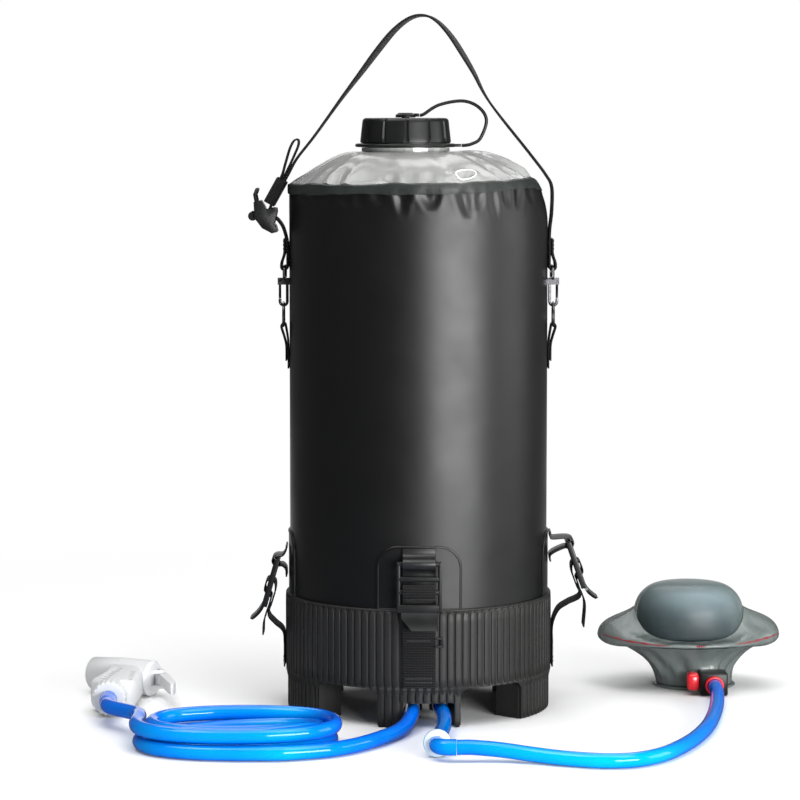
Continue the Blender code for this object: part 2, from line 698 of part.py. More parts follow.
def build_sides():
    lie = BASE_R + GAP + WEBBING_T / 2 + 0.0001
    taut_bar = lie + BUCKLE_T / 2 + 2 * WEBBING_T + 3 * GAP + 0.0002
    foot = [(lie, 0.0310), (lie, 0.0500)]
    taut = foot + [(lie, 0.0700)]
    for side, angle in (("front", -90), ("back", 90)):
        build_side(side, angle, taut_bar, 0.1258, 0, taut, [(lie + 0.0019, 0.0760), (lie + 0.0019, 0.0690)])
    build_side("left", 180, BASE_R + 0.0065, 0.1140, 16,
               foot + [(lie + 0.0012, 0.0590), (lie + 0.0075, 0.0650)],
               [(BASE_R + 0.0171, 0.0660), (BASE_R + 0.0177, 0.0560)])
    build_side("right", 0, BASE_R + 0.0135, 0.1280, 19,
               foot + [(lie + 0.0002, 0.0640), (lie + 0.0045, 0.0750), (lie + 0.0120, 0.0805)],
               [(BASE_R + 0.0265, 0.0800), (BASE_R + 0.0255, 0.0620)])


def eye_place():
    """The distance from the bag's axis to the strap's inner layer, and to the eye it is folded round."""
    inner = BAG_R + GAP + STRAP_T / 2
    wrap = EYE_R + GAP + STRAP_T / 2
    return inner, inner + wrap, wrap


def dring_place():
    """The distance from the bag's axis to the plane of the D-ring, in the middle of the hook."""
    return BAG_R + 2 * GAP + HOOK_R + HOOK_W / 2


def folded_end(sign, step):
    """One end of the strap: down the bag's side, round the eye and up again outside."""
    inner, eye_x, wrap = eye_place()
    outer = inner + STRAP_T + GAP + 0.0001
    points = [(inner, EYE_Z + 0.0170), (inner, EYE_Z + 0.0060), (inner, EYE_Z)]
    for k in range(1, 5):
        a = math.radians(36 * k)
        points.append((eye_x - wrap * math.cos(a), EYE_Z - wrap * math.sin(a)))
    points += [(eye_x + wrap, EYE_Z), (eye_x + wrap - 0.0003, EYE_Z + 0.0035),
               (outer + 0.0006, EYE_Z + 0.0085),
               (outer, EYE_Z + 0.0125), (outer, EYE_Z + STRAP_LAP)]
    return flat_route([(sign * x, z) for x, z in points], step)


def build_strap():
    """The carry strap: folded round an eye at each end, over the top of the bag."""
    inner = eye_place()[0]
    leg = BAG_R + GAP + BAND_WALL + GAP + STRAP_T / 2 + 0.0006
    over = [(inner, EYE_Z + 0.0170), (inner + 0.0003, 0.3720), (leg, 0.3860), (leg, 0.4040),
            (BAG_R - 0.0015, 0.4135), (BAG_R - 0.0140, 0.4300), (0.0531, 0.4700), (0.0280, 0.5120),
            (0.0115, 0.5340), (0.0015, 0.5380), (-0.0085, 0.5340), (-0.0593, 0.4728),
            (0.0200 - BAG_R, 0.4440)]
    over += [(LEG_X + LEG_ALONG[0] * s, LEG_Z + LEG_ALONG[1] * s) for s in (0.0300, 0.0160, 0.0)]
    turn = [over[-1], (LEG_X - LEG_ALONG[0] * 0.0100, LEG_Z - LEG_ALONG[1] * 0.0100)]
    turn += [(-BAG_R - away, z) for away, z in ((0.0148, 0.3868), (0.0128, 0.3828), (0.0080, 0.3785),
                                                (0.0042, 0.3722))]
    turn.append((-inner, EYE_Z + 0.0170))
    path = folded_end(1, 0.0019)[:0:-1] + flat_route(over, 0.0090)[:-1]
    path += flat_route(turn, 0.0034)[:-1] + folded_end(-1, 0.0019)
    ribbon("strap", path, STRAP_W, STRAP_T, WEBBING, BAG)


def build_tail():
    """The strap's spare end, folded into a loop beside the left leg and held there by the keeper."""
    along = Vector((LEG_ALONG[0], 0, LEG_ALONG[1]))
    aside = Vector((-LEG_ALONG[1], 0, LEG_ALONG[0]))
    root = Vector((LEG_X, 0, LEG_Z))
    first = STRAP_T / 2 + GAP + 0.0008
    second = first + 0.0018
    fold = ((-0.008, first), (0.012, first), (0.022, first + 0.0003), (0.032, first + 0.0010),
            (0.040, first + 0.0020), (0.0435, first + 0.0042), (0.0410, first + 0.0066),
            (0.034, first + 0.0064), (0.022, second + 0.0020), (0.012, second), (-0.008, second))
    tail = smooth([root + along * s + aside * n for s, n in fold], 0.0024)
    ribbon("strap_tail", tail, STRAP_W, TAIL_T, WEBBING, BAG)
    middle = root + aside * 0.0019
    tilt = (0, math.atan2(along.x, along.z), 0)
    keeper = block("strap_keeper", (0.0088, STRAP_W + 0.0040, 0.0210), WEBBING, BAG, middle, tilt,
                   bevel=0.0008)
    cut(keeper, block("keeper_slot", (0.0068, STRAP_W + 0.0012, 0.0400), None, BAG, middle, tilt))


def build_adjuster():
    """The cam adjuster on the left leg: its lever, two cheeks and the bar that the strap bends round."""
    lever = [(-BAG_R - away, z) for away, z in (
        (0.0270, 0.3930), (0.0262, 0.3805), (0.0206, 0.3730), (0.0130, 0.3690), (0.0088, 0.3700),
        (0.0100, 0.3744), (0.0160, 0.3808), (0.0186, 0.3890), (0.0216, 0.3940))]
    width = STRAP_W + 0.0060
    stand = (math.pi / 2, 0, 0)
    adjuster = slab("strap_adjuster", lever, width, BLACK_PLASTIC, BAG, rotation=stand)
    cheek = [(-BAG_R - away, z) for away, z in (
        (0.0180, 0.3870), (0.0120, 0.3884), (0.0095, 0.3880), (0.0092, 0.3850), (0.0120, 0.3730),
        (0.0190, 0.3760))]
    for sign in (-1, 1):
        y = sign * (STRAP_W / 2 + 0.0015)
        join(adjuster, slab(f"cheek_{sign}", cheek, 0.0024, None, BAG, (0, y, 0), stand))
    join(adjuster, rod("adjuster_bar", 0.0016, -width / 2 + 0.0005, width / 2 - 0.0005, None, BAG, steps=12,
                       location=(-BAG_R - 0.0113, 0, 0.3866), rotation=stand))
    join(adjuster, rod("adjuster_roller", 0.0036, -STRAP_W / 2, STRAP_W / 2, None, BAG, steps=16,
                       location=(-BAG_R - 0.0278, 0, 0.3822), rotation=stand))
    high = [(-BAG_R - away, y, z) for away, y, z in (
        (0.0244, -0.0130, 0.3900), (0.0262, -0.0130, 0.3985), (0.0246, -0.0100, 0.4025),
        (0.0246, 0.0100, 0.4025), (0.0262, 0.0130, 0.3985), (0.0244, 0.0130, 0.3900))]
    join(adjuster, tube("adjuster_loop", high, 0.0014, None, BAG, resolution=1))


def build_hook(side, sign):
    """A snap hook in the strap's end, with its sprung gate, and the D-ring and tab it hangs in."""
    eye_x = sign * eye_place()[1]
    half = STRAP_W / 2 + 2 * GAP + EYE_R
    soft = 0.0016
    low = EYE_Z - EYE_H
    ring = [(eye_x, y, z) for y, z in ((half - soft, EYE_Z), (half, EYE_Z - soft), (half, low + soft),
                                       (half - soft, low), (soft - half, low), (-half, low + soft),
                                       (-half, EYE_Z - soft), (soft - half, EYE_Z))]
    hook = tube(f"hook_{side}", ring, EYE_R, METAL, BAG, resolution=1, closed=True, solid=True)
    ring_x = dring_place()
    near = ring_x - HOOK_W / 2
    far = ring_x + HOOK_W / 2
    bottom = DRING_BOW_Z + DRING_BOW_R - DRING_R - GAP - HOOK_R
    bend = HOOK_W / 2
    line = [(sign * near, 0, HOOK_HEAD_Z)]
    for k in range(7):
        a = math.radians(30 * k)
        line.append((sign * (ring_x - bend * math.cos(a)), 0, bottom + bend - bend * math.sin(a)))
    line.append((sign * far, 0, NOSE_Z))
    join(hook, tube(f"hook_bend_{side}", line, HOOK_R, None, BAG))
    head = HOOK_W + 0.0034
    join(hook, block(f"hook_head_{side}", (head, 0.0058, 0.0052), None, BAG,
                     (sign * ring_x, 0, HOOK_HEAD_Z)))
    far_x = sign * far
    cut(hook, block(f"gate_slot_{side}", (0.0042, 0.0030, 0.0200), None, BAG,
                    (sign * (far + 0.0002), 0, HOOK_HEAD_Z)))
    across = (math.pi / 2, 0, 0)
    cut(hook, rod(f"gate_hole_{side}", GATE_PIN_R + GAP, -0.006, 0.006, None, BAG, steps=12,
                  location=(far_x, 0, HOOK_HEAD_Z), rotation=across))
    gate = rod(f"gate_{side}", GATE_R + 0.0003, -0.0012, 0.0012, METAL, BAG, steps=12,
               location=(far_x, 0, HOOK_HEAD_Z), rotation=across)
    join(gate, rod(f"gate_pin_{side}", GATE_PIN_R, -0.0028, 0.0028, None, BAG, steps=8,
                   location=(far_x, 0, HOOK_HEAD_Z), rotation=across))
    join(gate, rod(f"gate_bar_{side}", GATE_R, NOSE_Z + GAP, HOOK_HEAD_Z, None, BAG, steps=8,
                   location=(far_x, 0, 0)))
    corner = DRING_BOW_R - 0.0012
    bow = [(sign * ring_x, y, z) for y, z in ((-corner, DRING_BAR_Z), (corner, DRING_BAR_Z),
                                              (DRING_BOW_R, DRING_BAR_Z + 0.0012))]
    for k in range(13):
        a = math.radians(15 * k)
        bow.append((sign * ring_x, DRING_BOW_R * math.cos(a), DRING_BOW_Z + DRING_BOW_R * math.sin(a)))
    bow.append((sign * ring_x, -DRING_BOW_R, DRING_BAR_Z + 0.0012))
    tube(f"ring_{side}", bow, DRING_R, METAL, BAG, resolution=1, closed=True, solid=True)
    lie = BAG_R + GAP + TAB_T / 2
    outer = lie + TAB_T + GAP + 0.0001
    wrap = DRING_R + GAP + TAB_T / 2
    points = [(lie, TAB_LOW), (lie, 0.2780), (lie + 0.0004, 0.2870), (ring_x - wrap - 0.0001,
                                                                      DRING_BAR_Z - 0.0012)]
    for k in range(1, 5):
        a = math.radians(36 * k)
        points.append((ring_x - wrap * math.cos(a), DRING_BAR_Z + wrap * math.sin(a)))
    points += [(ring_x + wrap, DRING_BAR_Z - 0.0012), (outer + 0.0016, 0.2885), (outer + 0.0002, 0.2820),
               (outer, 0.2700)]
    ribbon(f"tab_{side}", flat_route([(sign * x, z) for x, z in points], 0.0018), TAB_W, TAB_T, WEBBING, BAG)


def build_hoses():
    """The two hoses: straight out of their spigots, under the notch and along the ground."""
    start = SPIGOT_END - GAP
    lead = [(OUTLET_X, start, FITTING_Z), (OUTLET_X, start - 0.0120, FITTING_Z), (-0.0051, -0.0960, 0.0112),
            (-0.0068, -0.1100, 0.0092), (-0.0108, -0.1260, 0.0068), (-0.0180, -0.1450, HOSE_Z),
            (-0.0300, -0.1680, HOSE_Z), (-0.0460, -0.1910, HOSE_Z), (-0.0660, -0.2085, HOSE_Z),
            (-0.0900, -0.2180, HOSE_Z), (COIL_X + 0.0300, COIL_Y - COIL_R + 0.0002, HOSE_Z),
            (COIL_X + 0.0115 + GAP, COIL_Y - COIL_R, HOSE_Z)]
    tube("shower_hose_lead", route(lead, 0.0110), HOSE_R, BLUE_HOSE, BAG, resolution=2)
    tube("shower_hose_coil", coil_points(), HOSE_R, BLUE_HOSE, BAG, resolution=1)
    left = COIL_X - COIL_LONG - COIL_R
    top = HOSE_Z + COIL_LAYER
    nut_x = GUN_X + GUN_NUT_X
    end = [(left, COIL_Y + 0.0115 + GAP, top), (left, COIL_Y + 0.0230, top),
           (left - 0.0035, COIL_Y + 0.0420, 0.0165),
           (nut_x + 0.0050, GUN_Y - 0.0360, 0.0150), (nut_x + 0.0004, GUN_Y - 0.0140, GUN_HEAD_R),
           (nut_x, GUN_Y - GAP, GUN_HEAD_R)]
    tube("shower_hose_end", route(end, 0.0110), HOSE_R, BLUE_HOSE, BAG, resolution=2)
    stub = [(INLET_X, start, FITTING_Z), (INLET_X, start - 0.0110, FITTING_Z), (0.0168, -0.0880, 0.0118),
            (0.0184, -0.1030, 0.0110), (0.0188, -0.1200, 0.0099), (0.0178, -0.1420, 0.0090),
            (0.0155, -0.1650, 0.0091), (0.0133, -0.1860, 0.0099), (UNION_X, UNION_Y + 0.0110, UNION_Z),
            (UNION_X, UNION_Y + UNION_T / 2 + GAP, UNION_Z)]
    tube("pump_hose_stub", route(stub, 0.0110), HOSE_R, BLUE_HOSE, BAG, resolution=2)
    ring = UNION_T / 2
    turned("union_ring", [(0, ring), (UNION_R - 0.0012, ring), (UNION_R, ring - 0.0012),
                          (UNION_R, 0.0012 - ring),
                          (UNION_R - 0.0012, -ring), (0, -ring)], MILKY, BAG, steps=24,
           location=(UNION_X, UNION_Y, UNION_Z), rotation=(math.pi / 2, 0, 0))
    face = UNION_Y - UNION_T / 2 - GAP
    bend = 0.0090
    elbow = [(UNION_X, face, UNION_Z)]
    for k in range(7):
        a = math.radians(15 * k)
        elbow.append((UNION_X + bend - bend * math.cos(a), face - 0.0030 - bend * math.sin(a), UNION_Z))
    outlet = UNION_X + bend + 0.0045
    elbow.append((outlet, face - 0.0030 - bend, UNION_Z))
    tube("union_elbow", elbow, HOSE_R + 0.0001, BLUE_HOSE, BAG, resolution=2)
    row = face - 0.0030 - bend
    end_y = VALVE_Y - VALVE_L / 2 - GAP
    pump = [(outlet + GAP, row, UNION_Z), (outlet + 0.0120, row, UNION_Z), (0.0580, -0.2225, 0.0085),
            (0.0810, -0.2285, 0.0064), (0.1050, -0.2385, HOSE_Z), (0.1290, -0.2460, HOSE_Z),
            (0.1520, -0.2430, HOSE_Z), (0.1720, -0.2260, HOSE_Z), (0.1880, -0.1990, HOSE_Z),
            (0.2030, -0.1630, HOSE_Z), (0.2150, -0.1230, HOSE_Z), (0.2240, -0.0800, HOSE_Z),
            (0.2305, -0.0390, 0.0062), (VALVE_X - 0.0008, -0.0060, 0.0082),
            (VALVE_X, end_y - 0.0110, VALVE_HOSE_Z),
            (VALVE_X, end_y, VALVE_HOSE_Z)]
    tube("pump_hose", route(pump, 0.0110), HOSE_R, BLUE_HOSE, BAG, resolution=2)


def coil_points():
    """Two layers of loops: in along the ground, up in the half turn where it turns back, and out on top."""
    middle = COIL_TURNS / 2
    inner = COIL_R - COIL_PITCH * middle
    points = [Vector((COIL_X + 0.0115, COIL_Y - COIL_R, HOSE_Z))]
    count = round(COIL_TURNS * COIL_POINTS)
    for i in range(count + 1):
        turns = i / COIL_POINTS
        a = math.radians(-90 - 360 * turns)
        radius = inner + COIL_PITCH * abs(turns - middle)
        climb = min(1.0, max(0.0, (turns - middle + 0.25) / 0.5))
        long = COIL_LONG * (1.5 * math.cos(a) - 0.5 * math.cos(a) ** 3)
        points.append(Vector((COIL_X + long + radius * math.cos(a), COIL_Y + radius * math.sin(a),
                              HOSE_Z + COIL_LAYER * climb)))
    points.append(points[-1] + Vector((0, 0.0115, 0)))
    return points


def least_self_gap(points, radius):
    """The least distance between the surfaces of loops that lie beside or over each other."""
    fine = smooth(points, radius / 2)
    far_along = round(5 * radius / (radius / 2))
    least = min((a - b).length for i, a in enumerate(fine) for b in fine[i + far_along:])
    return least - 2 * radius


def head_turn():
    return (0, math.radians(GUN_TILT), 0)


def build_gun_head():
    rear_x, rear_z = GUN_REAR
    at = (rear_x, 0, rear_z)
    radius = GUN_HEAD_R
    spigot = 0.0096
    profile = [(0, GUN_HEAD_L + 0.0052), (spigot, GUN_HEAD_L + 0.0052), (spigot, GUN_HEAD_L),
               (radius, GUN_HEAD_L), (radius, 0.0022), (radius - 0.0022, 0), (0, 0)]
    head = turned("gun_head", profile, WHITE_PLASTIC, GUN, steps=32, location=at, rotation=head_turn())
    px, pz = LEVER_PIVOT
    ear = [(px - 0.0110, pz + 0.0075), (px - 0.0010, pz + 0.0046)]
    ear += [(px + 0.0046 * math.cos(a), pz + 0.0046 * math.sin(a))
            for a in (math.radians(75 - 30 * k) for k in range(6))]
    ear += [(px - 0.0090, pz - 0.0062)]
    pin_hole = PIN_R + GAP
    for sign in (-1, 1):
        y = sign * (LEVER_T / 2 + GAP + 0.0014)
        lug = slab(f"ear_{sign}", ear, 0.0028, None, GUN, (0, y, 0), (math.pi / 2, 0, 0))
        join(head, lug)
    hole = rod("pin_hole", pin_hole, -0.02, 0.02, None, GUN, steps=16, location=(px, 0, pz),
               rotation=(math.pi / 2, 0, 0))
    cut(head, hole)
    inside = spigot + GAP
    start = GUN_HEAD_L + GAP
    end = start + GUN_NOZZLE_L
    nozzle = [(0, end - 0.0022), (0.0100, end - 0.0022), (0.0104, end), (0.0118, end),
              (0.0130, end - 0.0012),
              (radius, start + 0.0015), (radius, start), (inside, start), (inside, start + 0.0060),
              (0, start + 0.0060)]
    turned("gun_nozzle", nozzle, WHITE_PLASTIC, GUN, steps=32, location=at, rotation=head_turn())
    return hole


def build_gun_grip():
    """The grip: a rounded handle with two rows of slanting windows cut through it."""
    outline = [(-0.0040, 0.0930), (-0.0042, 0.0845), (-0.0062, 0.0636), (-0.0116, 0.0403), (-0.0138, 0.0290),
               (-0.0125, 0.0215), (-0.0075, GUN_NUT_H + GAP), (0.0165, GUN_NUT_H + GAP), (0.0208, 0.0240),
               (0.0225, 0.0442), (0.0233, 0.0636), (0.0215, 0.0760), (0.0200, 0.0860)]
    grip = slab("gun_grip", outline, GUN_GRIP_T, WHITE_PLASTIC, GUN, rotation=(math.pi / 2, 0, 0))
    rounding = grip.modifiers.new("rounding", "BEVEL")
    rounding.width = 0.0050
    rounding.segments = 2
    rounding.limit_method = "ANGLE"
    rounding.angle_limit = math.radians(50)
    rear_x, rear_z = GUN_REAR
    cut(grip, rod("grip_head_seat", GUN_HEAD_R + GAP, -0.05, 0.10, None, GUN, steps=40,
                  location=(rear_x, 0, rear_z), rotation=head_turn()))
    slant = (0, math.radians(28), 0)
    for k in range(8):
        z = 0.0264 + WINDOW_PITCH * k
        x = -0.0045 + 0.0012 * k + 0.0010
        if z < 0.0775:
            cut(grip, block(f"window_left_{k}", (0.0068, 0.04, 0.0036), None, GUN, (x, 0, z), slant))
        if 0 < k < 8 and z < 0.0700:
            cut(grip, block(f"window_right_{k}", (0.0050, 0.04, 0.0026), None, GUN, (0.0160, 0, z - 0.0080),
                            slant))
    join(grip, rod("grip_spigot", GUN_SPIGOT_R, 0.0045, GUN_NUT_H + 0.0030, None, GUN, steps=24,
                   location=(GUN_NUT_X, 0, 0)))


def build_gun_lever(hole):
    px, pz = LEVER_PIVOT
    outline = [(px + LEVER_HUB_R * math.cos(a), pz + LEVER_HUB_R * math.sin(a))
               for a in (math.radians(110 + 30 * k) for k in range(5))]
    outline += [(px + 0.0015, pz - 0.0046), (px + 0.0042, pz - 0.0148), (px + 0.0112, pz - 0.0411),
                (px + 0.0130, pz - 0.0475), (px + 0.0152, pz - 0.0473), (px + 0.0164, pz - 0.0380),
                (px + 0.0100, pz - 0.0088), (px + 0.0064, pz + 0.0032), (px + 0.0028, pz + 0.0050)]
    lever = slab("gun_lever", outline, LEVER_T, WHITE_PLASTIC, GUN, rotation=(math.pi / 2, 0, 0))
    cut(lever, hole)
    reach = LEVER_T / 2 + GAP + 0.0028
    rod("gun_pin", PIN_R, -reach, reach, METAL, GUN, steps=16, location=(px, 0, pz),
        rotation=(math.pi / 2, 0, 0))


def build_gun_nut():
    nut = drawn_up("gun_nut", fluted(GUN_NUT_R, 0.0006, 20), ((0, 0.93), (0.0012, 1), (GUN_NUT_H, 1)),
                   WHITE_PLASTIC, GUN, (GUN_NUT_X, 0, 0))
    cut(nut, rod("nut_bore", GUN_SPIGOT_R + GAP, 0.0042, GUN_NUT_H + 0.01, None, GUN, steps=24,
                 location=(GUN_NUT_X, 0, 0)))


def build_pump():
    def oval(name, profile, look, steps=40):
        made = turned(name, profile, look, PUMP, steps=steps)
        made.scale = (1, PUMP_FLAT, 1)
        return made

    oval("pump_sole", [(0, SOLE_T), (SOLE_R, SOLE_T), (SOLE_R, 0), (0, 0)], PUMP_FILM)
    low = SOLE_T + GAP
    high = SKIRT_Z - GAP
    rise = high - low
    chamber = oval("pump_chamber", [(0, high), (0.0540, high), (0.0500, low + 0.80 * rise),
                                    (0.0430, low + 0.50 * rise),
                                    (0.0360, low + 0.21 * rise), (0.0320, low), (0, low)], PUMP_FILM)
    pocket = block("valve_pocket", (VALVE_W + 0.014, VALVE_L, VALVE_H + 2 * GAP + 0.01), None, BAG,
                   (VALVE_X - 0.0064, VALVE_Y + 2 * GAP, (VALVE_H + 2 * GAP - 0.01) / 2))
    cut(chamber, pocket)
    outline = []
    for k in range(72):
        a = 2 * math.pi * k / 72
        sideways = min(abs(math.sin(a)), 1.0)
        tip = (SKIRT_TIP - SKIRT_R) * math.exp(-(sideways / 0.42) ** 2)
        flap = 0.0050 * math.exp(-(math.cos(a) / 0.45) ** 2)
        outline.append(((SKIRT_R + tip) * math.cos(a), (SKIRT_R * PUMP_FLAT + flap) * math.sin(a)))
    slab("pump_skirt", outline, SKIRT_T, PUMP_FILM, PUMP, (0, 0, SKIRT_Z + SKIRT_T / 2))
    foot = SKIRT_Z + SKIRT_T + GAP
    rounds = ((0.0, 1.0), (0.40, 0.985), (0.68, 0.92), (0.87, 0.77), (0.97, 0.57), (1.0, 0.33),
              (0.985, 0.15),
              (0.94, 0.04), (0.86, 0.0), (0.0, 0.0))
    oval("pump_dome", [(r * PUMP_DOME_R, foot + h * PUMP_DOME_H) for r, h in rounds], FOAM)
    block("pump_valve", (VALVE_W, VALVE_L, VALVE_H - GAP), BLACK_PLASTIC, BAG,
          (VALVE_X, VALVE_Y, (VALVE_H + GAP) / 2), bevel=0.0015)
    bore = HOSE_R + GAP
    face = VALVE_Y - VALVE_L / 2 - GAP
    turned("pump_ring", [(bore, 0.0060), (bore + 0.0012, 0.0060), (bore + 0.0016, 0.0050),
                         (bore + 0.0016, 0.0),
                         (bore, 0.0)], RED_PLASTIC, BAG, ring=True, steps=20,
           location=(VALVE_X, face, VALVE_HOSE_Z), rotation=(math.pi / 2, 0, 0))
    tap_x = VALVE_X - VALVE_W / 2 - GAP - 0.0048
    block("pump_tap", (0.0096, 0.0150, 0.0140), RED_PLASTIC, BAG, (tap_x, VALVE_Y - 0.0010, 0.0108),
          bevel=0.0030)


build_base()
build_bag()
build_dome()
lug_end_x = build_neck()
eye_end_x, eye_height = build_cap()
build_tether(lug_end_x, eye_end_x, eye_height)
build_sides()
build_strap()
build_tail()
build_adjuster()
build_hook("right", 1)
build_hook("left", -1)
build_hoses()
lever_hole = build_gun_head()
build_gun_grip()
build_gun_lever(lever_hole)
build_gun_nut()
build_pump()
print(f"least gap between the coil's loops: {1000 * least_self_gap(coil_points(), HOSE_R):.2f} mm")
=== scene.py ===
# %% [markdown]
# # Pressure shower bag
# This bag holds twelve litres of water. A foot pump puts it under pressure, and a spray gun
# lets the water out through a blue hose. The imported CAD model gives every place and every
# joint. This script dresses it: finer shapes where the CAD is coarse, and a finish for every
# surface. Everything is in metres, Z is up and the camera looks from -Y.

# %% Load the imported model
import math

import bmesh
import bpy
from mathutils import Matrix, Vector


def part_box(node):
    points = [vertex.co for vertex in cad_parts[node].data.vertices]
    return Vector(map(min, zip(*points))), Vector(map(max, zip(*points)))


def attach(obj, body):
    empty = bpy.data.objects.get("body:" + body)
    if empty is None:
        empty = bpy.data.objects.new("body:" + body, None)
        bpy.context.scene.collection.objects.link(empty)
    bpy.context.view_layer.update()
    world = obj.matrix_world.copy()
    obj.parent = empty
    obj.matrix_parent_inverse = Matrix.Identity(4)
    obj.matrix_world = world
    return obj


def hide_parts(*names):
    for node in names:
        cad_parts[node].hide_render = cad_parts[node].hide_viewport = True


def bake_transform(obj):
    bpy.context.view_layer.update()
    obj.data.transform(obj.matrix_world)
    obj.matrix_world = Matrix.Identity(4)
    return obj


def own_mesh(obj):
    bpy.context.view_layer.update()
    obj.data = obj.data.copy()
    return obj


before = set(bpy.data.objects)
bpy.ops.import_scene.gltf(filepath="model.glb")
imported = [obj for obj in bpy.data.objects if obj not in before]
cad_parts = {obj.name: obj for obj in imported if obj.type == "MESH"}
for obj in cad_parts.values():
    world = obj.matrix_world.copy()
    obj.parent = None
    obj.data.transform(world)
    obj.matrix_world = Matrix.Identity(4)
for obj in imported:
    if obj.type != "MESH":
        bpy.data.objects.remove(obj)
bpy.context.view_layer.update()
bpy.context.scene.view_settings.view_transform = "Standard"

# %% [markdown]
# The bag's own axis is the natural place to measure from. Its foot is the middle of the
# bag_body node, so it is read from the frame instead of being typed in.

# %% Places that the other cells use
def middle_of(name):
    """The middle of a node, at ground height."""
    low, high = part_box(name)
    return Vector(((low.x + high.x) / 2, (low.y + high.y) / 2, 0))


def show(name, data):
    made = bpy.data.objects.new(name, data)
    bpy.context.scene.collection.objects.link(made)
    return made


AXIS = middle_of("bag_body")
NECK = middle_of("cap")
PUMP = Vector((0.219, 0.080, 0)) + AXIS
BAG_R = (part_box("bag_body")[1].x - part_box("bag_body")[0].x) / 2
BAG_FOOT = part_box("bag_body")[0].z
CAP_LOW, CAP_TOP = (corner.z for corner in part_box("cap"))
GAP = 0.0003  # between pieces that touch on the real bag
print("bag radius", round(BAG_R, 4), "bag axis", [round(v, 4) for v in AXIS])

# %% [markdown]
# ## The camera
# The photograph looks down by about five degrees from some two and a half metres away, so a
# long lens is used. The bag stands a little right of the middle.

# %% Camera
lens = bpy.data.cameras.new("camera")
lens.sensor_width = 36.0
lens.lens = 140.7
camera = show("camera", lens)
camera.location = AXIS + Vector((-0.0143, -2.423, 0.4636))
camera.rotation_euler = (math.radians(90 - 5.30), 0, 0)
bpy.context.scene.camera = camera

# %% [markdown]
# ## Nodes for finishes
# Every finish starts from one Principled shader. The first helpers make the material and add
# nodes to it; the others are the few patterns that most finishes share. Patterns read Object
# coordinates, which are metres here, or the piece's own UV map, which is also in metres.

# %% Helpers for materials
def set_shader(look, **values):
    """Sets the shader's own numbers; an underscore stands for a space in a name."""
    shader = look.node_tree.nodes["Principled BSDF"]
    for name, value in values.items():
        shader.inputs[name.replace("_", " ")].default_value = value


def finish(name, colour, roughness, metallic=0.0, specular=0.5, coat=0.0, alpha=1.0):
    made = bpy.data.materials.new(name)
    made.use_nodes = True
    set_shader(made, Base_Color=(*colour, 1), Roughness=roughness, Metallic=metallic, Alpha=alpha,
               Specular_IOR_Level=specular, Coat_Weight=coat, Coat_Roughness=0.08)
    return made


def node(look, kind, values=None, **inputs):
    """Adds a node to a material, world or tree; an input is a number or another node's output."""
    tree = getattr(look, "node_tree", look)
    made = tree.nodes.new(kind)
    for name, value in (values or {}).items():
        setattr(made, name, value)
    for name, value in inputs.items():
        key = int(name[2:]) if name.startswith("i_") else name.replace("_", " ")
        if isinstance(value, bpy.types.NodeSocket):
            tree.links.new(value, made.inputs[key])
        else:
            made.inputs[key].default_value = value
    return made


def places(look, scale=(1, 1, 1)):
    coords = node(look, "ShaderNodeTexCoord").outputs["Object"]
    return node(look, "ShaderNodeMapping", Vector=coords, Scale=scale).outputs["Vector"]


def noise(look, scale, where=None, detail=3.0):
    return node(look, "ShaderNodeTexNoise", Vector=where or places(look), Scale=scale, Detail=detail,
                Roughness=0.55).outputs["Fac"]


def spread(look, value, low_in, high_in, low_out, high_out):
    return node(look, "ShaderNodeMapRange", i_0=value, i_1=low_in, i_2=high_in, i_3=low_out,
                i_4=high_out).outputs["Result"]


def between(look, share, first, second):
    """A blend of two colours; each is three numbers or another node's output."""
    first, second = (c if isinstance(c, bpy.types.NodeSocket) else (*c, 1) for c in (first, second))
    return node(look, "ShaderNodeMix", {"data_type": "RGBA"}, i_0=share, i_6=first, i_7=second).outputs[2]


def combined(look, operation, first, second=0.0):
    return node(look, "ShaderNodeMath", {"operation": operation}, i_0=first, i_1=second).outputs[0]


def seen_edge_on(look, blend):
    """Rises from 0, where the surface faces the eye, to 1 at its edges."""
    return node(look, "ShaderNodeLayerWeight", Blend=blend).outputs["Facing"]


def bump(look, height, depth, strength):
    return node(look, "ShaderNodeBump", Strength=strength, Distance=depth, Height=height)


def use(look, value, socket):
    look.node_tree.links.new(value, look.node_tree.nodes["Principled BSDF"].inputs[socket])


def coloured(look, share, first, second):
    use(look, between(look, share, first, second), "Base Color")


def uneven(look, scale, low, high):
    """Lets the roughness wander between two numbers."""
    use(look, spread(look, noise(look, scale), 0.3, 0.7, low, high), "Roughness")


def grained(look, height, depth, strength):
    use(look, bump(look, height, depth, strength).outputs["Normal"], "Normal")


# %% [markdown]
# ## Finishes
# The bag is black film with a soft sheen, so its roughness wanders and a faint bump breaks the
# highlight. The moulded pieces are plastic with a fine grain. The dome and the pump are clear
# film: they let part of what is behind them through.

# %% Finishes of film and plastic
def make_black_film():
    look = finish("black film", (0.0022, 0.0022, 0.0023), 0.41)
    uneven(look, 26, 0.39, 0.46)
    fine = bump(look, noise(look, 1500, detail=2), 0.00004, 0.35)
    broad = bump(look, noise(look, 17, detail=2), 0.0016, 0.30)
    look.node_tree.links.new(fine.outputs["Normal"], broad.inputs["Normal"])
    use(look, broad.outputs["Normal"], "Normal")
    return look


def make_clear_film():
    look = finish("clear film", (0.42, 0.43, 0.42), 0.16, specular=0.6, alpha=0.76)
    coloured(look, noise(look, 34), (0.31, 0.315, 0.31), (0.455, 0.46, 0.45))
    grained(look, noise(look, 42, detail=4), 0.0016, 0.30)
    return look


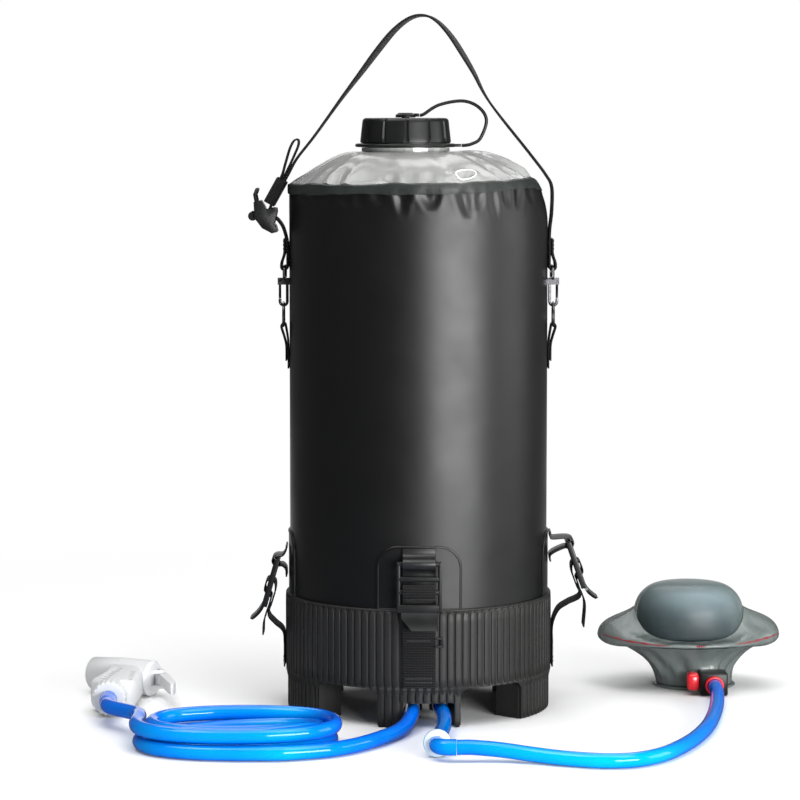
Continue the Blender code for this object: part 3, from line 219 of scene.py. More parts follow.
def make_plastic(name, colour, roughness, grain=0.00003, **more):
    look = finish(name, colour, roughness, **more)
    uneven(look, 60, roughness - 0.05, roughness + 0.06)
    coloured(look, noise(look, 35), colour, tuple(min(1.0, c * 1.18 + 0.002) for c in colour))
    grained(look, noise(look, 2600, detail=2), grain, 0.5)
    return look


def make_ribbed_plastic():
    """The base's plastic: its grey is streaked by flow lines that run up the ribs."""
    look = finish("ribbed plastic", (0.020, 0.0195, 0.019), 0.46, specular=0.28)
    streaks = noise(look, 1.0, places(look, (190, 190, 6)))
    coloured(look, streaks, (0.0100, 0.0098, 0.0094), (0.0265, 0.0256, 0.0244))
    uneven(look, 80, 0.38, 0.54)
    grained(look, noise(look, 1800, detail=2), 0.00005, 0.5)
    return look


def make_pump_film():
    look = finish("pump film", (0.15, 0.18, 0.17), 0.26, specular=0.6, alpha=0.90)
    creases = noise(look, 1.0, places(look, (60, 60, 14)), detail=4)
    # Painted shade and light: the creases that raise the bump also make the film darker in their hollows
    # and lighter on their ridges.
    crease_shade = between(look, creases, (0.10, 0.125, 0.12), (0.23, 0.26, 0.25))
    coloured(look, seen_edge_on(look, 0.25), crease_shade, (0.045, 0.058, 0.056))
    grained(look, creases, 0.0045, 0.55)
    return look


def make_cover_film():
    """Thin clear film over the foam: it shows at its rim, where the eye looks along it."""
    look = finish("cover film", (0.14, 0.18, 0.18), 0.30, specular=0.35)
    use(look, spread(look, seen_edge_on(look, 0.30), 0.15, 0.85, 0.10, 0.88), "Alpha")
    grained(look, noise(look, 30), 0.0012, 0.25)
    return look


def make_foam():
    """Foam seen through film: grey-blue on top, with painted shade that darkens it towards its foot."""
    look = finish("foam under film", (0.12, 0.16, 0.18), 0.46, specular=0.4)
    # Painted shade: the colour runs by height from dark at the foot to grey-blue at the top, as if lit from
    # above.
    height = node(look, "ShaderNodeSeparateXYZ", Vector=places(look)).outputs["Z"]
    rise = combined(look, "POWER", spread(look, height, 0.042, 0.077, 0.0, 0.95), 2.2)
    share = combined(look, "ADD", rise, spread(look, noise(look, 45), 0.3, 0.7, -0.05, 0.10))
    coloured(look, share, (0.013, 0.021, 0.028), (0.245, 0.325, 0.350))
    grained(look, noise(look, 900), 0.00012, 0.35)
    return look


BLACK_FILM = make_black_film()
CLEAR_FILM = make_clear_film()
BLACK_PLASTIC = make_plastic("black plastic", (0.0055, 0.0058, 0.006), 0.36, specular=0.36)
WHITE_PLASTIC = make_plastic("white plastic", (0.61, 0.62, 0.63), 0.36, grain=0.00001)
MILKY = make_plastic("milky plastic", (0.60, 0.73, 0.82), 0.26, coat=0.4)
RED_PLASTIC = make_plastic("red plastic", (0.62, 0.012, 0.022), 0.30, coat=0.4)
NECK_PLASTIC = make_plastic("neck plastic", (0.40, 0.41, 0.40), 0.22, grain=0.00001, coat=0.4)
RED_DYE = make_plastic("red dye", (0.20, 0.024, 0.032), 0.45)
RIBBED_PLASTIC = make_ribbed_plastic()
PUMP_FILM = make_pump_film()
COVER_FILM = make_cover_film()
FOAM = make_foam()

# %% [markdown]
# Webbing is woven: ribs of thread run across the strap, and finer threads run along it. Its UV
# map holds metres along and across the strap, so the weave follows each bend. Two sine waves
# make the threads, which costs less than a mesh of them. They raise the bump, and they also
# paint light on the threads and shade between them.

# %% Finishes of webbing, hose and metal
def sine(look, value, pitch):
    return combined(look, "SINE", combined(look, "MULTIPLY", value, 2 * math.pi * (1 / pitch)))


def make_webbing():
    look = finish("webbing", (0.006, 0.006, 0.006), 0.72, specular=0.2)
    coords = node(look, "ShaderNodeTexCoord").outputs["UV"]
    metres = node(look, "ShaderNodeSeparateXYZ", Vector=coords).outputs
    rib = sine(look, metres["X"], 0.0019)
    thread = sine(look, metres["Y"], 0.0011)
    weave = combined(look, "ADD", rib, combined(look, "MULTIPLY", thread, 0.45))
    grained(look, weave, 0.00022, 0.8)
    # Painted light and shade: the weave's raised threads are coloured lighter and its hollows darker.
    painted_weave_light = spread(look, weave, -1.3, 1.3, 0.0, 1.0)
    coloured(look, painted_weave_light, (0.003, 0.003, 0.0032), (0.014, 0.0135, 0.0135))
    set_shader(look, Sheen_Weight=0.06, Sheen_Roughness=0.4)
    return look


def make_hose():
    """Clear blue hose: pale where it faces the eye, deep blue at its edges."""
    look = finish("blue hose", (0.0, 0.30, 0.95), 0.08, specular=0.35, coat=0.28)
    cloud = spread(look, noise(look, 11, detail=1), 0.35, 0.65, 0.0, 1.0)
    pale = between(look, cloud, (0.0, 0.22, 0.90), (0.0, 0.47, 0.97))
    coloured(look, seen_edge_on(look, 0.30), pale, (0.0, 0.06, 0.62))
    set_shader(look, Transmission_Weight=0.12, IOR=1.35, Coat_Roughness=0.03)
    grained(look, noise(look, 60, detail=2), 0.0005, 0.15)
    return look


def make_metal():
    look = finish("dark metal", (0.13, 0.13, 0.14), 0.30, metallic=1.0)
    uneven(look, 150, 0.26, 0.36)
    return look


WEBBING = make_webbing()
HOSE = make_hose()
METAL = make_metal()

# %% [markdown]
# ## Shapes
# Most of the pieces are one of four kinds: turned (cap, neck, pump), swept round a path (hose,
# hook, leash), a strip that follows a path (webbing), or a moulding whose CAD solid only needs
# its edges softened. One function makes each kind.

# %% Helpers for shapes
def as_piece(name, shape, look, body, nodes=(), sharp=32):
    """Closes off a bmesh: shades it, gives it its finish and hangs it on its body."""
    mesh = bpy.data.meshes.new(name)
    shape.to_mesh(mesh)
    shape.free()
    return settle(show(name, mesh), look, body, nodes, sharp)


def settle(made, look, body, nodes=(), sharp=32):
    made.data.polygons.foreach_set("use_smooth", [True] * len(made.data.polygons))
    made.data.set_sharp_from_angle(angle=math.radians(sharp))
    made.data.materials.clear()
    made.data.materials.append(look)
    if body:
        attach(made, body)
    if nodes:
        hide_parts(*nodes)
    return made


def smooth(route, step):
    """Points about a step apart on a smooth curve through the route's own points."""
    ends = [2 * route[0] - route[1]] + list(route) + [2 * route[-1] - route[-2]]
    fine = []
    for before, start, end, after in zip(ends, ends[1:], ends[2:], ends[3:]):
        for k in range(16):
            t = k / 16
            fine.append(0.5 * (2 * start + (end - before) * t
                               + (2 * before - 5 * start + 4 * end - after) * t ** 2
                               + (3 * start - before - 3 * end + after) * t ** 3))
    fine.append(route[-1])
    along = [0.0]
    for a, b in zip(fine, fine[1:]):
        along.append(along[-1] + (b - a).length)
    count = max(2, round(along[-1] / step))
    points = []
    k = 0
    for i in range(count + 1):
        at = along[-1] * i / count
        while k < len(fine) - 2 and along[k + 1] < at:
            k += 1
        share = (at - along[k]) / (along[k + 1] - along[k])
        points.append(fine[k].lerp(fine[k + 1], share))
    return points


def from_bag(points, step):
    return smooth([Vector(p) + AXIS for p in points], step)


def polar(r, a, z, stretch=1.0):
    """A point at a radius, a turn and a height; stretch flattens the circle along Y."""
    return Vector((r * math.cos(a), stretch * r * math.sin(a), z))


def join_rings(shape, rings, closed=False):
    """Faces between each ring of vertices and the next; closed joins the last to the first."""
    for upper, lower in zip(rings, rings[1:] + (rings[:1] if closed else [])):
        for k in range(len(upper)):
            after = (k + 1) % len(upper)
            corners = list(dict.fromkeys((upper[k], lower[k], lower[after], upper[after])))
            if len(corners) > 2:
                shape.faces.new(corners)


def lathe(profile, steps, centre=(0, 0, 0), ring=False, stretch=1.0):
    """Turns a profile of (radius, height) round a vertical axis."""
    shape = bmesh.new()
    centre = Vector(centre)
    rows = []
    for r, z in profile:
        if r < 0.00001:
            rows.append([shape.verts.new(centre + Vector((0, 0, z)))] * steps)
        else:
            rows.append([shape.verts.new(centre + polar(r, 2 * math.pi * k / steps, z, stretch))
                         for k in range(steps)])
    join_rings(shape, rows, ring)
    bmesh.ops.recalc_face_normals(shape, faces=shape.faces)
    return shape


def sweep(path, section, closed=False, side=None):
    """Carries a section of (aside, up) points along a path; the UV map is in metres."""
    shape = bmesh.new()
    uv = shape.loops.layers.uv.new("UVMap")
    count = len(path)
    rings = []
    lengths = [0.0]
    aside = None
    for i, point in enumerate(path):
        before = path[i - 1] if i or closed else path[0]
        after = path[(i + 1) % count] if i < count - 1 or closed else path[-1]
        ahead = (after - before).normalized()
        if i:
            lengths.append(lengths[-1] + (point - path[i - 1]).length)
        if side:
            aside = Vector(side)
        elif aside is None:
            aside = ahead.orthogonal().normalized()
        aside = (aside - ahead * aside.dot(ahead)).normalized()
        up = ahead.cross(aside)
        rings.append([shape.verts.new(point + aside * a + up * b) for a, b in section(i / (count - 1))])
    corners = len(rings[0])
    around = [0.0]
    for a, b in zip(rings[0], rings[0][1:] + rings[0][:1]):
        around.append(around[-1] + (a.co - b.co).length)
    steps = count if closed else count - 1
    for i in range(steps):
        first, second = rings[i], rings[(i + 1) % count]
        for k in range(corners):
            after = (k + 1) % corners
            face = shape.faces.new((first[k], second[k], second[after], first[after]))
            ahead_by = lengths[i + 1] if i + 1 < count else lengths[i] + 0.001
            values = ((lengths[i], around[k]), (ahead_by, around[k]), (ahead_by, around[k + 1]),
                      (lengths[i], around[k + 1]))
            for loop, value in zip(face.loops, values):
                loop[uv].uv = value
    if not closed:
        shape.faces.new(rings[0][::-1])
        shape.faces.new(rings[-1])
    bmesh.ops.recalc_face_normals(shape, faces=shape.faces)
    return shape


def circle(radius, sides):
    """A round section; its radius is a number, or a function of the share of the path."""
    def section(share):
        r = radius(share) if callable(radius) else radius
        turns = [2 * math.pi * k / sides for k in range(sides)]
        return [(r * math.cos(a), r * math.sin(a)) for a in turns]

    return section


def strip(width, thickness):
    """The section of webbing: flat faces and rolled edges."""
    half = width / 2
    edge = thickness / 2
    points = []
    for side, start in ((1, -90), (-1, 90)):
        for k in range(5):
            a = math.radians(start + 45 * k)
            points.append((side * (half - edge) + edge * math.cos(a), edge * math.sin(a)))
    return lambda share: points


def rounded_block(shape, size, matrix, soft, segments=3):
    made = bmesh.ops.create_cube(shape, size=1.0, matrix=matrix @ Matrix.Diagonal((*size, 1)))
    edges = list({e for v in made["verts"] for e in v.link_edges})
    bmesh.ops.bevel(shape, geom=edges, offset=soft, segments=segments, profile=0.6, affect="EDGES")


def keep(node_name, look):
    """A CAD node that is shown as it is, in a better finish."""
    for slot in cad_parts[node_name].material_slots:
        slot.material = look


def refine(node_name, look, body, width=0.0, sharp=38):
    """A CAD node's own solid with its flat faces merged and, by a width, its edges rounded."""
    shape = bmesh.new()
    shape.from_mesh(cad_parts[node_name].data)
    bmesh.ops.remove_doubles(shape, verts=shape.verts, dist=0.000004)
    bmesh.ops.dissolve_limit(shape, angle_limit=math.radians(2), verts=shape.verts, edges=shape.edges)
    if width:
        edges = [e for e in shape.edges if len(e.link_faces) == 2
                 and e.calc_face_angle() > math.radians(35)]
        bmesh.ops.bevel(shape, geom=edges, offset=width, offset_type="OFFSET", segments=2,
                        profile=0.6, affect="EDGES", clamp_overlap=True)
    return as_piece(node_name + "_fine", shape, look, body, [node_name], sharp=sharp)


# %% [markdown]
# ## Hoses
# The hoses come first, because they have to lie where their CAD solids lie. Each one starts
# square to its fitting, comes down to the ground and lies there in loose curves. The routes
# are lists of points, in metres from the foot of the bag's axis.

# %% Sizes of the hoses
HOSE_R = 0.0055
HOSE_Z = HOSE_R + 0.0001
START_Y = -0.0660 - GAP
OUTLET_X = -0.0050
INLET_X = 0.0158
FITTING_Z = 0.0120
COIL_X = -0.1315
COIL_Y = -0.1700
COIL_LONG = 0.0245
COIL_R = 0.0510
COIL_PITCH = 0.0118
COIL_TURNS = 3.25
COIL_LAYER = 0.0118
COIL_END = 0.0115
UNION = (0.0124, -0.2070, 0.0103)
UNION_T = 0.0060
VALVE_X = 0.2350
VALVE_Y = 0.0365
VALVE_FRONT = VALVE_Y - 0.0200 / 2
VALVE_HOSE_Z = 0.0093
NUT_X = -0.2400 + 0.0025
NUT_Y = -0.0600


# %% Routes of the hoses
def coil_points(steps):
    """Two layers of loops: in on the ground, up where it turns back, and out on top."""
    middle = COIL_TURNS / 2
    inner = COIL_R - COIL_PITCH * middle
    points = [(COIL_X + COIL_END, COIL_Y - COIL_R, HOSE_Z)]
    for i in range(round(COIL_TURNS * steps) + 1):
        turns = i / steps
        a = math.radians(-90 - 360 * turns)
        radius = inner + COIL_PITCH * abs(turns - middle)
        climb = min(1.0, max(0.0, (turns - middle + 0.25) / 0.5))
        long = COIL_LONG * (1.5 * math.cos(a) - 0.5 * math.cos(a) ** 3)
        points.append((COIL_X + long + radius * math.cos(a), COIL_Y + radius * math.sin(a),
                       HOSE_Z + COIL_LAYER * climb))
    x, y, z = points[-1]
    return points + [(x, y + COIL_END, z)]


lead_route = [
    (OUTLET_X, START_Y, FITTING_Z), (OUTLET_X, START_Y - 0.0120, FITTING_Z), (-0.0051, -0.0960, 0.0112),
    (-0.0068, -0.1100, 0.0092), (-0.0108, -0.1260, 0.0068), (-0.0180, -0.1450, HOSE_Z),
    (-0.0300, -0.1680, HOSE_Z), (-0.0460, -0.1910, HOSE_Z), (-0.0660, -0.2085, HOSE_Z),
    (-0.0900, -0.2180, HOSE_Z), (COIL_X + 0.0300, COIL_Y - COIL_R + 0.0002, HOSE_Z),
    (COIL_X + COIL_END + GAP, COIL_Y - COIL_R, HOSE_Z)]
COIL_LEFT = COIL_X - COIL_LONG - COIL_R
COIL_TOP = HOSE_Z + COIL_LAYER
end_route = [
    (COIL_LEFT, COIL_Y + COIL_END + GAP, COIL_TOP), (COIL_LEFT, COIL_Y + 0.0230, COIL_TOP),
    (COIL_LEFT - 0.0035, COIL_Y + 0.0420, 0.0165), (NUT_X + 0.0050, NUT_Y - 0.0360, 0.0150),
    (NUT_X + 0.0004, NUT_Y - 0.0140, 0.0143), (NUT_X, NUT_Y - GAP, 0.0143)]
stub_route = [
    (INLET_X, START_Y, FITTING_Z), (INLET_X, START_Y - 0.0110, FITTING_Z), (0.0168, -0.0880, 0.0118),
    (0.0184, -0.1030, 0.0110), (0.0188, -0.1200, 0.0099), (0.0178, -0.1420, 0.0090),
    (0.0155, -0.1650, 0.0091), (0.0133, -0.1860, 0.0099), (UNION[0], UNION[1] + 0.0110, UNION[2]),
    (UNION[0], UNION[1] + UNION_T / 2 + GAP, UNION[2])]
ELBOW_FACE = UNION[1] - UNION_T / 2 - GAP
ELBOW_STEM = 0.0030
ELBOW_BEND = 0.0090
ELBOW_OUT = UNION[0] + ELBOW_BEND + 0.0045
ROW_Y = ELBOW_FACE - ELBOW_STEM - ELBOW_BEND
pump_route = [
    (ELBOW_OUT + GAP, ROW_Y, UNION[2]), (ELBOW_OUT + 0.0120, ROW_Y, UNION[2]), (0.0580, -0.2225, 0.0085),
    (0.0810, -0.2285, 0.0064), (0.1050, -0.2385, HOSE_Z), (0.1290, -0.2460, HOSE_Z),
    (0.1520, -0.2430, HOSE_Z), (0.1720, -0.2260, HOSE_Z), (0.1880, -0.1990, HOSE_Z),
    (0.2030, -0.1630, HOSE_Z), (0.2150, -0.1230, HOSE_Z), (0.2240, -0.0800, HOSE_Z),
    (0.2305, -0.0390, 0.0062), (VALVE_X - 0.0008, -0.0060, 0.0082),
    (VALVE_X, VALVE_FRONT - GAP - 0.0110, VALVE_HOSE_Z), (VALVE_X, VALVE_FRONT - GAP, VALVE_HOSE_Z)]


def length_of(path):
    return sum((b - a).length for a, b in zip(path, path[1:]))


# %% Lay the hoses
BARB = 0.020  # the length over which the shower hose swells before the gun's nut


def lay_hose(name, cad, route, barb=False, step=0.004):
    path = from_bag(route, step)
    total = length_of(path)

    def radius(share):
        left = total * (1 - share)
        if not barb or left >= BARB:
            return HOSE_R
        swell = 0.0011 * max(0.0, 1 - left / BARB) ** 0.5
        return HOSE_R + (swell + 0.0002 * (0.5 + 0.5 * math.sin(left / 0.0007)))

    hose = as_piece(name, sweep(path, circle(radius, 20)), HOSE, "shower", cad, sharp=60)
    print(name, round(total, 3), "m")


lay_hose("shower_hose", ["shower_hose_lead", "shower_hose_coil", "shower_hose_end"],
         lead_route[:-1] + coil_points(24) + end_route[1:], barb=True, step=0.0035)

# %% [markdown]
# The foot pump's hose is in two lengths. A milky ring and an elbow join them, so that the pump
# can be taken off. The elbow is a short bend of the same hose, pushed over the union's stem.

# %% Union between the two lengths of pump hose
def make_union():
    profile = [(0, 0.0030), (0.0085, 0.0030), (0.0096, 0.0024), (0.0101, 0.0012), (0.0101, -0.0012),
               (0.0096, -0.0024), (0.0085, -0.0030), (0, -0.0030)]
    shape = lathe(profile, 48)
    turn = Matrix.Translation(Vector(UNION) + AXIS) @ Matrix.Rotation(math.pi / 2, 4, "X")
    bmesh.ops.transform(shape, matrix=turn, verts=shape.verts)
    return as_piece("union_ring_milky", shape, MILKY, "shower", ["union_ring"])


def make_elbow():
    route = [Vector((UNION[0], ELBOW_FACE, UNION[2]))]
    for k in range(13):
        a = math.radians(7.5 * k)
        route.append(Vector((UNION[0] + ELBOW_BEND - ELBOW_BEND * math.cos(a),
                             ELBOW_FACE - ELBOW_STEM - ELBOW_BEND * math.sin(a), UNION[2])))
    route.append(Vector((ELBOW_OUT, ROW_Y, UNION[2])))
    path = [p + AXIS for p in route]
    return as_piece("union_bend", sweep(path, circle(HOSE_R + 0.0004, 24)), HOSE, "shower",
                    ["union_elbow"], sharp=60)


milky_ring = make_union()
bend = make_elbow()
lay_hose("pump_hose_stub_blue", ["pump_hose_stub"], stub_route)
lay_hose("pump_hose_blue", ["pump_hose"], pump_route)

# %% [markdown]
# ## Bars set out by Geometry Nodes
# Ribs and stitches are the same job: one small bar, set down many times, each with its own
# length and turn. A mesh of bare points carries those two as attributes. The tree makes the
# bar, with ends as blunt and a section as square as asked, puts one on each point and makes
# the result real. The plain mesh is taken from it.

# %% A tree that sets bars on points
def make_bar_tree():
    tree = bpy.data.node_groups.new("bars on points", "GeometryNodeTree")
    sockets = [("Geometry", "Geometry"), ("Width", "Float"), ("Depth", "Float"), ("Bluntness", "Float"),
               ("Roundness", "Float"), ("Sides", "Int"), ("Finish", "Material")]
    for name, kind in sockets:
        tree.interface.new_socket(name, in_out="INPUT", socket_type="NodeSocket" + kind)
    tree.interface.new_socket("Geometry", in_out="OUTPUT", socket_type="NodeSocketGeometry")
    given = node(tree, "NodeGroupInput").outputs

    def add(kind, output, values=None, **inputs):
        return node(tree, kind, values, **inputs).outputs[output]

    def number(operation, first, second=0.0):
        return combined(tree, operation, first, second)

    line = add("GeometryNodeCurvePrimitiveLine", "Curve", End=(0, 0, 1))
    line = add("GeometryNodeResampleCurve", "Curve", Curve=line, Count=9)
    share = add("GeometryNodeSplineParameter", "Factor")
    swung = number("COSINE", number("MULTIPLY", share, math.pi))
    height = number("SUBTRACT", 0.5, number("MULTIPLY", swung, 0.5))
    gathered = add("ShaderNodeCombineXYZ", "Vector", Z=height)
    line = add("GeometryNodeSetPosition", "Geometry", Geometry=line, Position=gathered)
    off_middle = number("ABSOLUTE", number("SUBTRACT", number("MULTIPLY", share, 2.0), 1.0))
    blunt = number("POWER", off_middle, given["Bluntness"])
    taper = number("POWER", number("SUBTRACT", 1.02, blunt), 0.5)
    line = add("GeometryNodeSetCurveRadius", "Curve", Curve=line, Radius=taper)

    ring = add("GeometryNodeCurvePrimitiveCircle", "Curve", Radius=1.0, Resolution=given["Sides"])
    place = add("GeometryNodeInputPosition", "Position")
    corner = node(tree, "ShaderNodeSeparateXYZ", Vector=place).outputs
    pushed = {}
    for axis in "XY":
        reach = number("POWER", number("ABSOLUTE", corner[axis]), given["Roundness"])
        half = number("MULTIPLY", number("SIGN", corner[axis]), 0.5)
        pushed[axis] = number("MULTIPLY", half, reach)
    squared = add("ShaderNodeCombineXYZ", "Vector", **pushed)
    section = add("GeometryNodeSetPosition", "Geometry", Geometry=ring, Position=squared)
    bar = node(tree, "GeometryNodeCurveToMesh", Curve=line, Profile_Curve=section, Fill_Caps=True)
    if "Scale" in bar.inputs:
        tree.links.new(taper, bar.inputs["Scale"])

    tall = add("GeometryNodeInputNamedAttribute", "Attribute", {"data_type": "FLOAT"}, Name="tall")
    turn = add("GeometryNodeInputNamedAttribute", "Attribute", {"data_type": "FLOAT_VECTOR"}, Name="turn")
    size = add("ShaderNodeCombineXYZ", "Vector", X=given["Depth"], Y=given["Width"], Z=tall)
    placed = add("GeometryNodeInstanceOnPoints", "Instances", Points=given["Geometry"],
                 Instance=bar.outputs["Mesh"], Rotation=turn, Scale=size)
    real = add("GeometryNodeRealizeInstances", "Geometry", Geometry=placed)
    dressed = add("GeometryNodeSetMaterial", "Geometry", Geometry=real, Material=given["Finish"])
    node(tree, "NodeGroupOutput", Geometry=dressed)
    return tree


BAR_TREE = make_bar_tree()


def set_bars(name, spots, look, slot, body, **given):
    """Spots are (foot, 3x3 matrix whose Z runs along the bar and X stands out, length)."""
    mesh = bpy.data.meshes.new(name + "_points")
    mesh.from_pydata([foot for foot, _, _ in spots], [], [])
    tall = mesh.attributes.new("tall", "FLOAT", "POINT")
    turn = mesh.attributes.new("turn", "FLOAT_VECTOR", "POINT")
    tall.data.foreach_set("value", [length for _, _, length in spots])
    turn.data.foreach_set("vector", [v for _, matrix, _ in spots for v in matrix.to_euler()])
    holder = show(name + "_points", mesh)
    modifier = holder.modifiers.new("bars", "NODES")
    modifier.node_group = BAR_TREE
    given["Finish"] = look
    for item in BAR_TREE.interface.items_tree:
        if item.item_type == "SOCKET" and item.in_out == "INPUT" and item.name in given:
            modifier[item.identifier] = given[item.name]
    bpy.context.view_layer.update()
    bars = holder.evaluated_get(bpy.context.evaluated_depsgraph_get())
    result = bpy.data.meshes.new_from_object(bars)
    bpy.data.objects.remove(holder)
    print(name, len(spots), "bars")
    return settle(show(name, result), look, body, sharp=60)


def upright(angle):
    """A matrix whose Z is up and whose X looks out from the axis."""
    return Matrix.Rotation(math.radians(angle), 3, "Z")


# %% [markdown]
# ## The ribbed base
# The base is one moulding. The CAD solid already has its arches, its notch and its inner webs,
# so it stays. What it lacks is the face of its ribs, which are flat with rounded edges and a
# narrow groove between them, and the thin lip round the rim. Each rib is a bar half sunk in
# the wall, and it stops where an arch or the notch begins.

# %% Ribs and lip of the base
BASE_R = 0.1035
BASE_H = 0.0890
RIBS = 108
RIB_JOINT = 0.0296
ARCHES = (-124.0, -56.0, 56.0, 124.0)
ARCH_HALF = 16.6
ARCH_TOP = 0.0300
NOTCH_X = 0.0082
NOTCH_HALF = 0.0210
NOTCH_TOP = 0.0190


def turn_from(angle, middle):
    """Degrees from a middle to an angle, the short way round."""
    return (angle - middle + 180) % 360 - 180


def is_open_below(angle, height):
    for middle in ARCHES:
        if abs(turn_from(angle, middle)) < ARCH_HALF:
            return height < ARCH_TOP
    x = BASE_R * math.cos(math.radians(angle))
    y = BASE_R * math.sin(math.radians(angle))
    return y < 0 and abs(x - NOTCH_X) < NOTCH_HALF and height < NOTCH_TOP


def make_base_ribs():
    """Upper ribs all round; below them full ones, or short ones above the notch."""
    spots = []
    for k in range(RIBS):
        angle = 360.0 * k / RIBS
        ribs = [(0.0009, RIB_JOINT, BASE_H - RIB_JOINT - 0.0006)]
        if not is_open_below(angle, 0.010):
            ribs.append((0.0024, 0.0005, 0.0292))
        elif not is_open_below(angle, 0.0200):
            ribs.append((0.0020, 0.0195, 0.0085))
        turn = upright(angle)
        out = turn @ Vector((1, 0, 0))
        for sunk, foot, tall in ribs:
            spots.append((AXIS + out * (BASE_R - sunk) + Vector((0, 0, foot)), turn, tall))
    set_bars("base_ribs", spots, RIBBED_PLASTIC, "base_plastic", "shower",
             Width=0.0049, Depth=0.0021, Bluntness=30.0, Roundness=0.35, Sides=12)


def make_base_lip():
    turns = [math.radians(24 * k) for k in range(15)]
    profile = [(0.1006 + 0.0014 * (1 - math.cos(a)), BASE_H + 0.0011 * math.sin(a)) for a in turns]
    as_piece("base_lip", lathe(profile, 180, AXIS, ring=True), RIBBED_PLASTIC, "shower")


keep("base", RIBBED_PLASTIC)
make_base_ribs()
make_base_lip()
for fitting in ("outlet_fitting", "inlet_fitting"):
    keep(fitting, BLACK_PLASTIC)

# %% [markdown]
# ## The bag
# The bag is welded from flat film. Where the black wall meets the hem it can't shrink, so it
# puckers: short dents run down from the hem and fade out within a couple of centimetres. Each
# dent here is a soft groove with its own place, width, depth and lean, moved into the vertices.

# %% Dents under the hem
WALL_TOP = 0.4000
HEM_TOP = 0.4068
DENTS = [(-8.0, 2.2, 0.020, 0.0022, 5), (-4.5, 1.5, 0.011, 0.0012, -6), (3.4, 3.2, 0.016, 0.0020, 10),
         (8.0, 1.6, 0.013, 0.0013, -8), (19.5, 3.0, 0.023, 0.0021, 12), (27.0, 2.4, 0.017, 0.0012, -8),
         (33.5, 2.2, 0.027, 0.0011, 12), (-18.0, 2.6, 0.012, 0.0011, 4), (-26.5, 2.4, 0.014, 0.0012, -5),
         (-34.0, 3.4, 0.013, 0.0010, 3), (41.0, 2.6, 0.017, 0.0013, 8), (50.0, 2.8, 0.018, 0.0012, -6),
         (60.0, 3.2, 0.014, 0.0011, 5), (-47.0, 3.0, 0.012, 0.0010, 4), (-61.0, 3.4, 0.013, 0.0010, -5)]
for k in range(17):
    turn = 76.0 + 12.2 * k + 3.0 * math.sin(5.1 * k)
    wide = 2.2 + 1.1 * math.sin(3.7 * k) ** 2
    long = 0.012 + 0.010 * math.sin(2.3 * k) ** 2
    DENTS.append((turn, wide, long, 0.0010 + 0.0010 * math.sin(1.9 * k) ** 2, 10 * math.sin(4.3 * k)))
SLOPE_FOOT = 0.375  # below this height the wall is straight


def dent_depth(angle, z):
    """How far the wall is pushed in; the angle is counted from the front, to the right."""
    if z < 0.365 or z > WALL_TOP + 0.001:
        return 0.0
    below = max(0.0, WALL_TOP - z)
    depth = 0.0
    for middle, width, length, deep, lean in DENTS:
        if below > length:
            continue
        share = below / length
        centre = middle + lean * share * 0.22
        off = turn_from(angle, centre) / (width * (1 - 0.55 * share))
        depth += deep * math.exp(-off * off) * math.sin(math.pi * min(1.0, share + 0.22)) ** 1.2
        depth -= 0.35 * deep * math.exp(-(abs(off) - 1.9) ** 2 * 1.6) * (1 - share)
    return depth * (0.35 if abs(abs(angle) - 90) < 9 else 1.0)


def shoulder(angle, z):
    """The bag's right shoulder is rounded: its wall leans in towards the hem."""
    off = turn_from(angle, 90)
    return 0.0100 * math.exp(-(off / 42) ** 2) * max(0.0, (z - SLOPE_FOOT) / 0.0313) ** 2.2


def lift(angle, z):
    """The hem sits a few millimetres higher at the front, and most at the right."""
    if abs(angle) > 150:
        return 0.0
    rise = 0.0022 * math.exp(-(angle / 60) ** 2) + 0.0046 * math.exp(-((angle - 62) / 32) ** 2)
    return rise * min(1.0, max(0.0, (z - SLOPE_FOOT) / 0.0235)) ** 1.5


def seen_from_axis(vertex):
    """A vertex measured from the bag's foot, and its turn from the front."""
    place = vertex.co - AXIS
    return place, math.degrees(math.atan2(place.x, -place.y))


def push_wall(shape):
    for vertex in shape.verts:
        place, angle = seen_from_axis(vertex)
        reach = math.hypot(place.x, place.y)
        if reach < 0.06:
            continue
        depth = dent_depth(angle, place.z) + shoulder(angle, place.z)
        vertex.co.x -= depth * place.x / reach
        vertex.co.y -= depth * place.y / reach
        vertex.co.z += lift(angle, place.z)


def make_bag_wall():
    film = 0.0015
    inner = BAG_R - film
    heights = [WALL_TOP - 0.0009 * k for k in range(40)] + [0.355, 0.33, 0.28, 0.20, 0.12, 0.09, 0.06]
    rows = [(BAG_R, z) for z in heights]
    rows += [(BAG_R, BAG_FOOT + 0.003), (BAG_R - 0.0010, BAG_FOOT + 0.0006), (BAG_R - 0.003, BAG_FOOT)]
    rows += [(0, BAG_FOOT), (0, BAG_FOOT + film), (inner - 0.003, BAG_FOOT + film)]
    rows += [(inner, z) for z in reversed(heights)]
    shape = lathe(rows, 288, AXIS, ring=True)
    push_wall(shape)
    as_piece("bag_wall", shape, BLACK_FILM, "shower", ["bag_body"], sharp=50)


make_bag_wall()

# %% [markdown]
# The hem is a folded strip that joins the black wall to the clear dome. It is stiffer than
# both, a little greyer, and its two edges wander where the film pulls at it.

# %% Hem between wall and dome
def make_hem_film():
    look = finish("hem film", (0.017, 0.021, 0.019), 0.44, specular=0.22)
    coloured(look, noise(look, 55), (0.012, 0.0148, 0.0137), (0.029, 0.035, 0.032))
    uneven(look, 90, 0.34, 0.52)
    grained(look, noise(look, 70, detail=4), 0.0012, 0.4)
    return look


HEM_FILM = make_hem_film()
SATIN_TAPE = make_plastic("satin tape", (0.010, 0.010, 0.011), 0.40, specular=0.5)


def wander(angle, seed, amount):
    """A smooth line that wanders up and down round the bag."""
    a = math.radians(angle)
    total = 0.0
    for k, (times, share) in enumerate(((5, 0.35), (9, 0.3), (17, 0.25), (31, 0.18))):
        total += share * math.sin(times * a + seed + 2.1 * k)
    return amount * total


